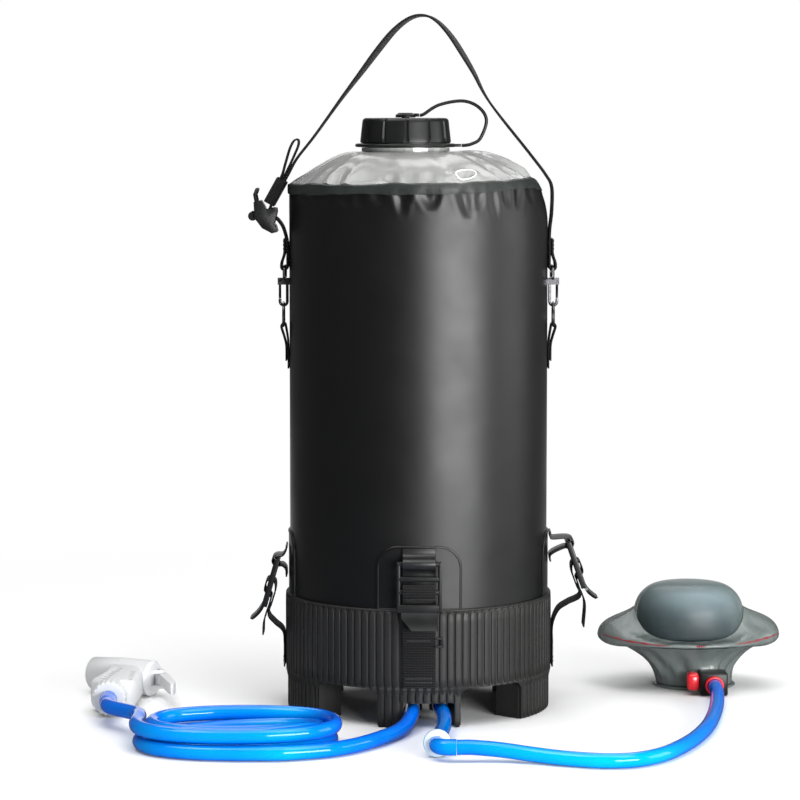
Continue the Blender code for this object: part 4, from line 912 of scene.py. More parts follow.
def make_hem():
    outer = BAG_R + 0.0011
    rows = [(BAG_R - 0.0030, HEM_TOP - 0.0004), (BAG_R - 0.0012, HEM_TOP + 0.0002),
            (outer, HEM_TOP - 0.0007), (outer + 0.0002, HEM_TOP - 0.0030),
            (outer + 0.0002, WALL_TOP + 0.0008), (outer, WALL_TOP - 0.0010),
            (BAG_R - 0.0004, WALL_TOP - 0.0012), (BAG_R - 0.0012, WALL_TOP + 0.0006),
            (BAG_R - 0.0030, WALL_TOP + 0.0006)]
    shape = lathe(rows, 288, AXIS, ring=True)
    for vertex in shape.verts:
        place, angle = seen_from_axis(vertex)
        near_top = (place.z - WALL_TOP) / (HEM_TOP - WALL_TOP)
        vertex.co.z += wander(angle, 1.0, 0.0011) * near_top + wander(angle, 4.0, 0.0007) * (1 - near_top)
        dent = 0.5 * dent_depth(angle, WALL_TOP - 0.004) * (1 - near_top)
        pull = max(-0.0002, wander(angle, 2.0, 0.0006) + dent)
        vertex.co -= Vector((place.x, place.y, 0)).normalized() * (pull + shoulder(angle, place.z))
        vertex.co.z += lift(angle, WALL_TOP)
    as_piece("hem", shape, HEM_FILM, "shower", ["weld_band"], sharp=50)


make_hem()

# %% [markdown]
# The dome is clear film that lies slack over the neck's clamp. It starts at the hem, rises in
# a low curve and is pulled a little to the left, as in the photograph. Creases start at the
# hem and die out towards the neck.

# %% Clear dome
DOME_FOOT = 0.4063
DOME_RISE = 0.0252
DOME_TOP = DOME_FOOT + DOME_RISE
NECK_SHIFT = NECK.x - AXIS.x
WRINKLE_TURN = 23.0
CREASES = ((WRINKLE_TURN, 4.0, 0.0022), (-40.0, 3.0, 0.0040), (5.0, 2.4, 0.0016), (66.0, 3.6, 0.0026),
           (118.0, 4.4, 0.0030), (-12.0, 3.0, 0.0018), (-95.0, 4.2, 0.0026), (170.0, 4.0, 0.0030),
           (44.0, 2.6, 0.0020))


def crumple(angle, share):
    """How far the film is pressed down at a turn and a share of the way to the neck."""
    total = 0.0
    for middle, width, deep in CREASES:
        off = turn_from(angle, middle) / width
        crease = math.exp(-off * off) - 0.8 * math.exp(-(abs(off) - 1.7) ** 2 * 1.5)
        total += deep * crease * math.exp(-((share - 0.10) / 0.13) ** 2)
    loop = math.hypot((angle - WRINKLE_TURN) / 5.0, (share - 0.15) / 0.085)
    total -= 0.0026 * math.exp(-((loop - 1) / 0.34) ** 2) - 0.0014 * math.exp(-2 * loop * loop)
    return total


def make_dome():
    rim = BAG_R - 0.0012
    flat = 0.0400
    hole = 0.0324
    knots = [(0.0420, 0.0), (0.0500, 0.045), (0.0620, 0.19), (0.0780, 0.49), (0.0915, 0.84), (rim, 1.0)]
    line = smooth([Vector((r, 0, DOME_TOP - drop * DOME_RISE)) for r, drop in knots], 0.0016)
    upper = [(hole, DOME_TOP), (0.0360, DOME_TOP)] + [(p.x, p.z) for p in line]
    lower = [(max(hole, r - 0.0007), z - 0.0014) for r, z in upper]
    shape = lathe(upper + lower[::-1], 288, AXIS, ring=True)
    for vertex in shape.verts:
        place, angle = seen_from_axis(vertex)
        reach = math.hypot(place.x, place.y)
        share = min(1.0, max(0.0, (rim - reach) / (rim - flat)))
        near_rim = (1 - share) ** 1.6 * min(1.0, share * 9)
        soft = share * (1 - share) * 4
        vertex.co.z += near_rim * wander(angle, 0.4, 0.0030) + soft * wander(angle * 0.6, 3.3, 0.0014)
        vertex.co.z += lift(angle, WALL_TOP) * (1 - share) ** 1.5 - crumple(angle, share)
        vertex.co.z += 0.0030 * math.exp(-(turn_from(angle, 90) / 50) ** 2) * soft
        outward = Vector((place.x, place.y, 0)).normalized()
        vertex.co -= outward * shoulder(angle, DOME_FOOT) * (1 - share) ** 3
        vertex.co.x += NECK_SHIFT * share
    as_piece("dome_film", shape, CLEAR_FILM, "shower", ["dome"], sharp=50)


def make_dome_wrinkle():
    """A fold that the film makes where it has slipped: a loop that stands up, coloured near-white as a
    painted highlight.
    """
    film = [v.co.copy() for v in bpy.data.objects["dome_film"].data.vertices]
    count = 48
    path = []
    for k in range(count):
        a = 2 * math.pi * k / count
        turn = math.radians(WRINKLE_TURN + 5.2 * math.cos(a) + 1.2 * math.cos(2 * a))
        reach = 0.0900 + 0.0052 * math.sin(a) + 0.0010 * math.sin(2 * a + 1)
        place = AXIS + Vector((reach * math.sin(turn) + 0.15 * NECK_SHIFT, -reach * math.cos(turn), 0))
        near = min(film, key=lambda p: ((p.x - place.x) ** 2 + (p.y - place.y) ** 2
                                        - 0.0001 * (p.z - DOME_FOOT)))
        path.append(Vector((place.x, place.y, near.z + 0.0005)))
    for _ in range(12):
        path = [(path[k - 1] + path[k] * 2 + path[(k + 1) % count]) / 4 for k in range(count)]
    section = circle(lambda share: 0.0004 + 0.0005 * math.sin(math.pi * share) ** 2, 10)
    as_piece("dome_wrinkle", sweep(path, section, closed=True), FOLD_PAINTED_HIGHLIGHT, "shower", sharp=60)


# The fold is clear film; its near-white colour is a painted highlight.
FOLD_PAINTED_HIGHLIGHT = make_plastic("fold painted highlight", (0.78, 0.79, 0.78), 0.12, grain=0.00001, specular=0.8)
make_dome()
make_dome_wrinkle()
keep("neck", NECK_PLASTIC)

# %% [markdown]
# ## Neck ring, cap, knob and leash
# The cap is a satin moulding with twelve narrow grip grooves. Its wall is turned point by point,
# and the radius dips at each groove. The leash keeps the cap on the bag: it runs from the knob
# on top, out to the right in a loop, and back to a ring under the cap.

# %% Cap with its grip grooves
CAP_R = 0.0350
GROOVES = 12


def groove_dip(turn):
    """Depth of the grip grooves at a turn in degrees from the front."""
    pitch = 360 / GROOVES
    off = (turn - 1.5 + pitch / 2) % pitch - pitch / 2
    return 0.0012 * max(0.0, 1 - (abs(off) / 1.9) ** 2.5)


def make_cap():
    """Each row is a radius, a height and how much of the grooves it has."""
    steps = 360
    sunk, hollow = CAP_TOP - 0.0006, CAP_TOP - 0.0022
    rows = [(CAP_R - 0.0032, CAP_LOW + 0.0004, 0), (CAP_R - 0.0008, CAP_LOW, 0),
            (CAP_R, CAP_LOW + 0.0008, 0.2)]
    rows += [(CAP_R - 0.0003 * k, CAP_LOW + 0.0020 + 0.0027 * k, 1) for k in range(6)]
    for k in range(1, 9):
        a = math.radians(90 * k / 8)
        rows.append((CAP_R - 0.0016 - 0.0030 * (1 - math.cos(a)),
                     CAP_TOP - 0.0030 + 0.0030 * math.sin(a), 1 - k / 8))
    rows += [(0.0290, CAP_TOP - 0.0001, 0), (0.0282, sunk, 0), (0.0200, sunk, 0), (0.0040, sunk, 0)]
    rows += [(0.0040, hollow, 0), (0.0312, hollow, 0), (0.0312, CAP_LOW + 0.0004, 0)]
    turns = [360.0 * k / steps for k in range(steps)]
    shape = bmesh.new()
    rings = [[shape.verts.new(NECK + polar(r - grip * groove_dip(turn), math.radians(turn - 90), z))
              for turn in turns] for r, z, grip in rows]
    join_rings(shape, rings, closed=True)
    bmesh.ops.recalc_face_normals(shape, faces=shape.faces)
    as_piece("cap_grooved", shape, BLACK_PLASTIC, "cap", ["cap"], sharp=35)


make_cap()
keep("cap_gasket", BLACK_FILM)

# %% Ring under the cap, swivel knob and leash
LUG_OUT = 0.0390
LUG_LONG = 0.0080
RING_LOW, RING_TOP = (corner.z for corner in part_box("tether_ring"))
LUG_Z = (RING_LOW + RING_TOP) / 2
KNOB_R = 0.0078
KNOB_FOOT = CAP_TOP + GAP
EYE_RISE = 0.0019


def make_tether_ring():
    inner, soft = 0.0303, 0.0012
    turns = [math.radians(22.5 * k) for k in range(9)]
    rows = [(inner, RING_TOP), (LUG_OUT - soft, RING_TOP)]
    rows += [(LUG_OUT - soft + soft * math.sin(a), LUG_Z + 0.0013 * math.cos(a)) for a in turns]
    rows += [(inner, RING_LOW)]
    shape = lathe(rows, 96, NECK, ring=True)
    rounded_block(shape, (LUG_LONG, 0.0050, 0.0023), Matrix.Translation(NECK + Vector((LUG_OUT, 0, LUG_Z))),
                  0.0006, segments=2)
    as_piece("leash_ring", shape, BLACK_PLASTIC, "shower", ["tether_ring"])


def make_knob():
    """A button above the cap's hole, a stem through it and a foot below."""
    foot, top = (corner.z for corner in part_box("tether_knob"))
    stem, wide = 0.0030, 0.0052
    rows = [(0, top), (0.0050, top), (0.0058, top - 0.0003), (0.0062, top - 0.0007), (0.0070, top - 0.0012),
            (0.0077, top - 0.0018), (KNOB_R, top - 0.0024), (KNOB_R, KNOB_FOOT + 0.0004),
            (0.0074, KNOB_FOOT), (stem, KNOB_FOOT), (stem, foot + 0.0012), (wide, foot + 0.0012),
            (wide, foot), (0, foot)]
    shape = lathe(rows, 48, NECK)
    eye = Matrix.Translation(NECK + Vector((0.0082, 0, KNOB_FOOT + EYE_RISE)))
    rounded_block(shape, (0.0048, 0.0038, 0.0026), eye, 0.0007, segments=2)
    as_piece("swivel_knob", shape, BLACK_PLASTIC, "knob", ["tether_knob"])


def make_leash():
    x = NECK_SHIFT + KNOB_R + 0.0028 + GAP
    end_x = NECK_SHIFT + LUG_OUT + LUG_LONG / 2 + GAP
    z = KNOB_FOOT + EYE_RISE
    points = [(x, 0, z), (x + 0.0030, 0, z + 0.0006), (x + 0.0150, 0, z + 0.0078),
              (x + 0.0330, 0, z + 0.0108), (x + 0.0455, 0, z + 0.0060), (x + 0.0515, 0, z - 0.0040),
              (end_x + 0.0145, 0, LUG_Z + 0.0055), (end_x + 0.0080, 0, LUG_Z + 0.0012),
              (end_x + 0.0026, 0, LUG_Z), (end_x, 0, LUG_Z)]
    path = from_bag(points, 0.0012)
    leash = as_piece("leash", sweep(path, circle(0.0013, 14)), BLACK_PLASTIC, None,
                     ["cap_tether"], sharp=60)
    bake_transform(leash)
    print("leash", round(length_of(path), 3), "m")


make_tether_ring()
make_knob()
make_leash()

# %% [markdown]
# ## Webbing
# Every strap is a strip that follows a route in one upright plane. It gets rolled edges, so it
# isn't a paper-thin sheet from the side, and a UV map in metres for the weave. The routes are
# those of the CAD straps, with more points so that the bends are round.

# %% Helper for straps
STRAP_W = 0.0250
STRAP_T = 0.0018
WEB_T = 0.0012


def strap_piece(name, cad, points, angle, body, width=STRAP_W, thickness=WEB_T, step=0.0014,
                look=WEBBING, twist=None):
    """Points are (distance out, height) at a turn round the bag's axis."""
    a = math.radians(angle)
    path = smooth([polar(r, a, z) + AXIS for r, z in points], step)
    shape = sweep(path, strip(width, thickness), side=(-math.sin(a), math.cos(a), 0))
    if twist:
        for v in shape.verts:
            v.co.x += (v.co.y - AXIS.y) * twist(v.co.z)
    as_piece(name, shape, look, body, cad, sharp=50)


# %% Carry strap over the top
EYE_Z = 0.3430
WRAP = 0.0012 + GAP + STRAP_T / 2
INNER = BAG_R + GAP + STRAP_T / 2
EYE_X = INNER + WRAP


def folded_end(sign):
    outer = INNER + STRAP_T + 0.0004
    points = [(INNER, EYE_Z + 0.0170), (INNER, EYE_Z + 0.0060), (INNER, EYE_Z)]
    for k in range(1, 5):
        a = math.radians(36 * k)
        points.append((EYE_X - WRAP * math.cos(a), EYE_Z - WRAP * math.sin(a)))
    points += [(EYE_X + WRAP, EYE_Z), (EYE_X + WRAP - 0.0003, EYE_Z + 0.0035),
               (outer + 0.0006, EYE_Z + 0.0085), (outer, EYE_Z + 0.0125), (outer, EYE_Z + 0.0215)]
    return [(sign * x, z) for x, z in points]


LEG = Vector((-0.1086, 0.3998))
ALONG = Vector((math.sin(math.radians(29)), math.cos(math.radians(29))))
ASIDE = Vector((-ALONG.y, ALONG.x))


def on_leg(s, n=0.0):
    """A point of the left leg, a way up along it and out to its left."""
    p = LEG + ALONG * s + ASIDE * n
    return (p.x, p.y)


def turned_in_air(z):
    """Near its top the strap turns a little, so both legs show their broad side."""
    return 0.17 * math.exp(-((z - 0.513) / 0.034) ** 2)


def make_carry_strap():
    leg = INNER + GAP + STRAP_T / 2 + 0.0006
    over = [(INNER + GAP, 0.3720), (leg, 0.3860), (leg, 0.4040), (0.0985, 0.4135), (0.0860, 0.4300),
            (0.0552, 0.4690), (0.0425, 0.4922), (0.0334, 0.5075), (0.0250, 0.5202), (0.0163, 0.5300),
            (0.0080, 0.5352), (-0.0006, 0.5358), (-0.0094, 0.5322), (-0.0197, 0.5235), (-0.0312, 0.5095),
            (-0.0440, 0.4925), (-0.0593, 0.4725), (-0.0800, 0.4440), on_leg(0.0300), on_leg(0.0160),
            on_leg(0.0), on_leg(-0.0100), (-0.1148, 0.3868), (-0.1128, 0.3828), (-0.1080, 0.3785),
            (-0.1042, 0.3722)]
    points = folded_end(1)[::-1] + over + folded_end(-1)
    strap_piece("carry_strap_web", ["strap"], points, 0, "carry_strap", thickness=STRAP_T,
                twist=turned_in_air)


def make_strap_tail():
    first = STRAP_T / 2 + GAP + 0.0008
    second = first + STRAP_T
    fold = ((-0.008, first), (0.012, first), (0.022, first + 0.0003), (0.032, first + 0.0010),
            (0.040, first + 0.0020), (0.0435, first + 0.0042), (0.0410, first + 0.0066),
            (0.034, first + 0.0064), (0.022, second + 0.0020), (0.012, second), (-0.008, second))
    points = [on_leg(s, n) for s, n in fold]
    strap_piece("strap_tail_web", ["strap_tail"], points, 0, "carry_strap", thickness=0.0014)


def make_keeper():
    """A sewn band round both layers, so its own weave runs the other way."""
    middle = on_leg(0.0, 0.0019)
    half_w, half_t, soft = STRAP_W / 2 + 0.0016, 0.0040, 0.0015
    corners = []
    for side_y, side_n, start in ((1, 1, 0), (-1, 1, 90), (-1, -1, 180), (1, -1, 270)):
        for k in range(5):
            a = math.radians(start + 22.5 * k)
            corners.append((side_y * (half_w - soft) + soft * math.cos(a),
                            side_n * (half_t - soft) + soft * math.sin(a)))
    across = Vector((ASIDE.x, 0, ASIDE.y))
    centre = Vector((middle[0], 0, middle[1])) + AXIS
    path = [centre + Vector((0, y, 0)) + across * n for y, n in corners]
    shape = sweep(path, strip(0.0210, 0.0010), closed=True, side=(ALONG.x, 0, ALONG.y))
    as_piece("keeper_web", shape, WEBBING, "carry_strap", ["strap_keeper"], sharp=50)


make_carry_strap()
make_strap_tail()
make_keeper()

# %% [markdown]
# ## Straps that tie the bag to its base
# Four straps come up from the base. Each passes twice through a ladder-lock buckle, which hangs
# in a loop that is sewn to a welded patch. The buckle grips because the webbing is folded over
# its middle bars.

# %% Routes of the four side straps
PATCH_T = 0.0012
PATCH_TOP = 0.1380
BUCKLE_T = 0.0044
BARS = ((0.0018, -0.0018), (-0.0092, -0.0132), (-0.0192, -0.0232), (-0.0302, -0.0367))
LIE = BASE_R + GAP + WEB_T / 2 + 0.0001
TAUT_BAR = LIE + BUCKLE_T / 2 + 2 * WEB_T + 3 * GAP + 0.0002
FOOT = [(LIE, 0.0310), (LIE, 0.0500)]
TAUT = (TAUT_BAR, 0.1258, 0, FOOT + [(LIE, 0.0700)], [(LIE + 0.0019, 0.0760), (LIE + 0.0017, 0.0645)])
SIDES = {
    "front": (-90, *TAUT),
    "back": (90, *TAUT),
    "left": (180, 0.1100, 0.1140, 16, FOOT + [(LIE + 0.0012, 0.0590), (LIE + 0.0075, 0.0650)],
             [(0.1206, 0.0660), (0.1212, 0.0560)]),
    "right": (0, 0.1170, 0.1280, 19,
              FOOT + [(LIE + 0.0002, 0.0640), (LIE + 0.0045, 0.0750), (LIE + 0.0120, 0.0805)],
              [(0.1300, 0.0800), (0.1290, 0.0620)]),
}


def loop_route(bar_r, bar_z):
    """From the patch out, round the buckle's top bar and back to the patch."""
    on_patch = BAG_R + GAP + PATCH_T + GAP + WEB_T / 2 + 0.0004
    reach = BUCKLE_T / 2 + GAP + WEB_T / 2 + 0.0007
    slant = 0.7 * reach
    upper = min(bar_z + 0.0120, PATCH_TOP - 0.0015)
    lower = bar_z - 0.0070 - 0.3 * (bar_r - on_patch - 0.0078)
    return [(on_patch, upper), (on_patch, upper - 0.0026), (on_patch + 0.0008, upper - 0.0050),
            (bar_r - 0.0040, bar_z + reach + 0.0002), (bar_r, bar_z + reach),
            (bar_r + slant, bar_z + slant), (bar_r + reach, bar_z), (bar_r + slant, bar_z - slant),
            (bar_r, bar_z - reach), (bar_r - 0.0040, bar_z - reach), (on_patch + 0.0004, lower),
            (on_patch, lower - 0.0055)]


def webbing_route(bar_r, bar_z, tilt, from_base, tail):
    """Up behind the buckle, through it over its middle bar, and down again as the tail."""
    low = BARS[3][1]
    front = BUCKLE_T / 2 + GAP + WEB_T / 2
    near = -front - GAP
    far = near - WEB_T - 0.0004
    upper = (BARS[1][1] + BARS[2][0]) / 2
    lower = (BARS[2][1] + BARS[3][0]) / 2
    weave = [(far, low - 0.0060), (far, low + 0.0040), (far, BARS[2][1]), (-0.0032, upper - 0.0010),
             (0, upper), (0.0030, upper - 0.0005), (front + 0.0005, (upper + lower) / 2),
             (0.0028, lower + 0.0014), (0, lower + 0.0003), (near + 0.0002, lower - 0.0020),
             (near, BARS[3][0] - 0.0020), (near, low - 0.0020)]
    lean = Matrix.Rotation(math.radians(-tilt), 4, "Y")
    moved = [lean @ Vector((x, 0, z)) for x, z in weave]
    return from_base + [(bar_r + m.x, bar_z + m.z) for m in moved] + tail


# %% Patches, loops, buckles and webbing
def make_patch(side, angle):
    """The welded patch, with a raised bead where the weld squeezed the film out."""
    low = BASE_H + GAP
    half, corner = 0.0325, 0.0170

    def round_corner(x, start):
        turns = [math.radians(start + 7.5 * k) for k in range(13)]
        return [(x + corner * math.cos(a), PATCH_TOP - corner + corner * math.sin(a)) for a in turns]

    outline = [(half * (k / 8 - 1), low) for k in range(17)] + round_corner(half - corner, 0)
    outline += [((half - corner) * (1 - k / 4), PATCH_TOP) for k in range(1, 8)]
    outline += round_corner(corner - half, 90)
    middle = (low + PATCH_TOP) / 2
    insets = ((1.0, 0.0), (1.0, 0.0010), (0.985, 0.0014), (0.955, 0.0014), (0.94, 0.0009), (0.70, 0.0009),
              (0.40, 0.0009), (0.12, 0.0009))
    turn = math.radians(angle)
    shape = bmesh.new()
    rings = [[shape.verts.new(AXIS + polar(BAG_R + 0.0002 + proud, turn + x * inset / BAG_R,
                                           middle + (z - middle) * inset))
              for x, z in outline] for inset, proud in insets]
    join_rings(shape, rings)
    shape.faces.new(rings[-1])
    shape.faces.new(rings[0][::-1])
    bmesh.ops.recalc_face_normals(shape, faces=shape.faces)
    as_piece(f"patch_{side}_welded", shape, BLACK_FILM, "shower", [f"patch_{side}"], sharp=40)


def at_turn(angle):
    return Matrix.Translation(AXIS) @ Matrix.Rotation(math.radians(angle), 4, "Z")


def make_tongue(shape, home, low):
    """The bent tongue under the last bar, which lifts the buckle; one of its corners is cut."""
    bent = bmesh.new()
    levels = []
    for k in range(9):
        z = low + 0.0040 - 0.0165 * k / 8
        out = 0.0006 + 0.0060 * (k / 8) ** 2.2
        left = -0.0139 if z > low - 0.0040 else -0.0139 + (low - 0.0040 - z) * 0.92
        corners = ((left, -0.0011), (left + 0.0006, 0.0013), (0.0133, 0.0013), (0.0139, -0.0011))
        levels.append([bent.verts.new(home @ Vector((out + t, y, z))) for y, t in corners])
    join_rings(bent, levels)
    bent.faces.new(levels[0])
    bent.faces.new(levels[-1][::-1])
    bmesh.ops.recalc_face_normals(bent, faces=bent.faces)
    tongue = bpy.data.meshes.new("tongue")
    bent.to_mesh(tongue)
    bent.free()
    shape.from_mesh(tongue)
    bpy.data.meshes.remove(tongue)


def make_buckle(side, angle, bar_r, bar_z, tilt):
    """A ladder-lock buckle: two rails, four bars and a tongue to lift it by."""
    home = (at_turn(angle) @ Matrix.Translation((bar_r, 0, bar_z))
            @ Matrix.Rotation(math.radians(-tilt), 4, "Y"))
    shape = bmesh.new()
    top, low = BARS[0][0], BARS[3][1]
    for sign in (-1, 1):
        rail = home @ Matrix.Translation((0, sign * (0.0170 - 0.0015), (top + low) / 2))
        rounded_block(shape, (BUCKLE_T, 0.0030, top - low), rail, 0.0010)
    for high, below in BARS:
        bar = home @ Matrix.Translation((0.0001, 0, (high + below) / 2))
        rounded_block(shape, (BUCKLE_T - 0.0002, 0.0325, high - below), bar, 0.0012)
    make_tongue(shape, home, low)
    as_piece(f"buckle_{side}_moulded", shape, BLACK_PLASTIC, "shower", [f"buckle_{side}"],
             sharp=40)


for side, (angle, bar_r, bar_z, tilt, from_base, tail) in SIDES.items():
    make_patch(side, angle)
    strap_piece(f"loop_{side}_web", [f"loop_{side}"], loop_route(bar_r, bar_z), angle, "shower",
                step=0.0008, look=SATIN_TAPE)
    strap_piece(f"webbing_{side}_web", [f"webbing_{side}"],
                webbing_route(bar_r, bar_z, tilt, from_base, tail), angle, "shower", step=0.0009)
    make_buckle(side, angle, bar_r, bar_z, tilt)


def make_strap_stop(side, angle):
    """The folded end of the tail, which sticks out beside the webbing and can't slip through."""
    shape = bmesh.new()
    layer, bridge = (0.0012, 0.0062, 0.0016), (0.0014, 0.0020, 0.0076)
    for size, y, z, soft in ((layer, 0.0150, 0.0690, 0.0003), (layer, 0.0150, 0.0630, 0.0003),
                             (bridge, 0.0180, 0.0660, 0.0004)):
        rounded_block(shape, size, at_turn(angle) @ Matrix.Translation((LIE + 0.0021, y, z)), soft)
    as_piece(f"strap_stop_{side}", shape, SATIN_TAPE, "shower", sharp=40)


for side in ("front", "back"):
    make_strap_stop(side, SIDES[side][0])
print("side straps:", ", ".join(SIDES))

# %% [markdown]
# ## Stitches
# A row of bar tacks holds each sewn end. A stitch is a tiny bar that lies on the webbing, so
# the same tree that made the ribs sets them out, only smaller and rounder.

# %% Stitches across the straps
def make_thread():
    look = finish("thread", (0.030, 0.030, 0.032), 0.6)
    coloured(look, noise(look, 900), (0.018, 0.018, 0.019), (0.060, 0.060, 0.062))
    return look


THREAD = make_thread()
STITCH = {"Width": 0.00055, "Depth": 0.0005, "Bluntness": 3.0, "Roundness": 1.0, "Sides": 6}
STITCH_PITCH = 0.0016


def stitch_row(angle, reach, z, width):
    """Slanted stitches in a row across a strap at the bag's side."""
    turn = upright(angle)
    along = turn @ Matrix.Rotation(math.radians(25.0), 3, "X")
    count = int(width / STITCH_PITCH)
    feet = [AXIS + turn @ Vector((reach, (k - (count - 1) / 2) * STITCH_PITCH, 0)) + Vector((0, 0, z))
            for k in range(count)]
    return [(foot, along, 0.0019) for foot in feet]


spots = []
for side in SIDES:
    angle = SIDES[side][0]
    for z in (0.0345, 0.0375):
        spots += stitch_row(angle, LIE + WEB_T / 2 + 0.0001, z, 0.022)
    if side in ("front", "back"):
        spots += stitch_row(angle, LIE + 0.0018 + WEB_T / 2, 0.0665, 0.019)
set_bars("strap_stitches", spots, THREAD, "webbing", "shower", **STITCH)
spots = []
for angle in (0, 180):
    for z in (EYE_Z + 0.0130, EYE_Z + 0.0160, EYE_Z + 0.0190):
        spots += stitch_row(angle, INNER + 0.0022 + 0.0010, z, 0.021)
set_bars("carry_strap_stitches", spots, THREAD, "webbing", "carry_strap", **STITCH)

# %% [markdown]
# ## Metal hooks and D-rings, and the tabs that hold them
# The hooks, gates and rings are small castings. Their CAD solids have the right shape, so a
# copy with its flat faces merged is enough. Only the strap's adjuster gets rounded edges too.

# %% Small hardware from the CAD solids
for side in ("left", "right"):
    refine(f"hook_{side}", METAL, "carry_strap", sharp=45)
    refine(f"gate_{side}", METAL, f"{side}_gate", sharp=45)
    refine(f"ring_{side}", METAL, "shower", sharp=50)
refine("strap_adjuster", BLACK_PLASTIC, "carry_strap", 0.0005)

# %% Tabs that hold the D-rings
def make_tab(side, angle):
    lie = BAG_R + GAP + WEB_T / 2
    outer = lie + WEB_T + 0.0004
    bar_x, bar_z = BAG_R + 0.0006 + 0.00115 + 0.00565 / 2, 0.2970
    wrap = 0.0009 + GAP + WEB_T / 2
    points = [(lie, 0.2640), (lie, 0.2780), (lie + 0.0004, 0.2870), (bar_x - wrap - 0.0001, bar_z - 0.0012)]
    for k in range(1, 5):
        a = math.radians(36 * k)
        points.append((bar_x - wrap * math.cos(a), bar_z + wrap * math.sin(a)))
    points += [(bar_x + wrap, bar_z - 0.0012), (outer + 0.0016, 0.2885), (outer + 0.0002, 0.2820),
               (outer, 0.2700)]
    strap_piece(f"tab_{side}_web", [f"tab_{side}"], points, angle, "shower", width=0.0160, step=0.0008)


make_tab("right", 0)
make_tab("left", 180)

# %% [markdown]
# ## Spray gun
# The gun is white plastic. Its head is a tube with a turning nozzle, the grip is a cage of
# slanting ribs, and a thumb lever swings on a steel pin. It lies on its side by the coil.

# %% Gun
for part, body, width in (("gun_head", "shower", 0.0), ("gun_nozzle", "nozzle", 0.0),
                          ("gun_grip", "shower", 0.0004), ("gun_lever", "lever", 0.0008),
                          ("gun_nut", "nut", 0.0003)):
    refine(part, WHITE_PLASTIC, body, width)
keep("gun_pin", METAL)

# %% [markdown]
# ## Foot pump
# A foam dome is pressed with the foot. Under it, clear film welds the dome to a wide flange
# with a lobe at each side, and a slack chamber of film goes down to the sole. The film is
# shaped by one rule: an outline that changes with the turn, and folds that deepen between
# flange and sole.

# %% Shapes of the pump's film
PUMP_FLAT = 0.86
PUMP_LEAN = 0.005
SOLE_TOP = 0.0030
SKIRT_TOP = 0.0403
FOAM_R = 0.0445
FOAM_LINE = ((0.0, 1.0), (0.40, 0.985), (0.68, 0.92), (0.87, 0.77), (0.97, 0.57), (1.0, 0.35), (1.0, 0.16),
             (0.985, 0.06), (0.94, 0.0))
VALVE_TURN = math.radians(286)
BOOT_R = 0.0403  # where the chamber's film reaches out over the valve block


def lobe(a):
    """1 at the tip of a side lobe, and nearly 0 at the front and back."""
    return math.exp(-(math.sin(a) / 0.60) ** 2)


def foam_radius(height):
    """The foam's radius at a share of its height."""
    for (r1, h1), (r0, h0) in zip(FOAM_LINE, FOAM_LINE[1:]):
        if h0 <= height <= h1:
            return FOAM_R * (r0 + (r1 - r0) * (height - h0) / (h1 - h0))
    return FOAM_R


def bend_of(start, leave, arrive, end, t):
    """A point of a Bezier curve in (reach, height)."""
    s = 1 - t
    return start * s ** 3 + leave * 3 * s * s * t + arrive * 3 * s * t * t + end * t ** 3


def flange_point(a, t):
    """Over the flange, from the foam at 0 to the seam at 1, and back under it to 2."""
    side = lobe(a)
    climb = 0.0240 * side ** 1.2
    start = Vector((foam_radius(climb / 0.0442) + 0.0008, SKIRT_TOP + climb))
    half = 0.0013 + 0.0078 * side
    reach = 0.0570 + 0.0165 * side
    seam = Vector((reach, 0.0386 + 0.0028 * side))
    if t <= 1:
        leave = start + Vector((0.30 * (reach - start.x), -(0.60 - 0.30 * side) * (start.y - seam.y)))
        place = bend_of(start, leave, seam + Vector((0, 1.5 * half)), seam, t)
        ripple = 0.0008 * math.sin(math.pi * t) * (math.sin(11 * a + 1.3) + 0.6 * math.sin(23 * a))
        place.y += ripple * (0.4 + 0.6 * side)
    else:
        under = Vector((reach - 0.0040 - 0.0130 * side, seam.y - half))
        share = 2 * (t - 1)
        if share < 1:
            leave = seam - Vector((0, 0.6 * half))
            place = bend_of(seam, leave, under + Vector((0.5 * (reach - under.x), 0)), under, share)
        else:
            place = under.lerp(Vector((0.0400, 0.0376)), share - 1)
    return polar(place.x, a, place.y, PUMP_FLAT)


def chamber_point(a, t, inset=0.0):
    """From the sole, at 0, up to the flange, at 1; the foot stands a little to the right."""
    side = lobe(a)
    foot = 0.0308
    top = 0.0562 + 0.0053 * side
    reach = foot + (top - foot) * t ** (2.1 + 0.3 * side)
    fold = math.sin(9 * a + 2.2 * math.sin(3 * a) + 2.5 * t) + 0.5 * math.sin(21 * a - 3 * t)
    turned = (a - VALVE_TURN + math.pi) % (2 * math.pi) - math.pi
    boot = math.exp(-(turned / 0.30) ** 4) * min(1.0, max(0.0, (0.80 - t) / 0.45))
    reach += 0.0013 * math.sin(math.pi * t) * fold - inset
    reach = max(reach, reach + (BOOT_R - inset - reach) * boot)
    lean = PUMP_LEAN * (1 - t) ** 1.2
    return Vector((reach * math.cos(a) + lean, PUMP_FLAT * reach * math.sin(a), SOLE_TOP + 0.0338 * t))


# %% Helpers for the pump
def film_shell(name, rows, body, cad):
    """A closed skin; each row is a function that gives a point for a turn."""
    steps = 180
    shape = bmesh.new()
    rings = [[shape.verts.new(PUMP + row(2 * math.pi * k / steps)) for k in range(steps)] for row in rows]
    join_rings(shape, rings, closed=True)
    bmesh.ops.recalc_face_normals(shape, faces=shape.faces)
    return as_piece(name, shape, PUMP_FILM, body, cad, sharp=60)


def foam_rows(radius, height, lowest=0.0):
    line = smooth([Vector((r, 0, h)) for r, h in FOAM_LINE], 0.03)
    return [(max(0.0, p.x) * radius, SKIRT_TOP + p.z * height) for p in line if p.z >= lowest]


def make_pump_foam():
    shape = lathe(foam_rows(0.0418, 0.0434) + [(0, SKIRT_TOP)], 144, PUMP, stretch=PUMP_FLAT)
    made = as_piece("pump_foam", shape, FOAM, "pump_top", ["pump_dome"], sharp=50)


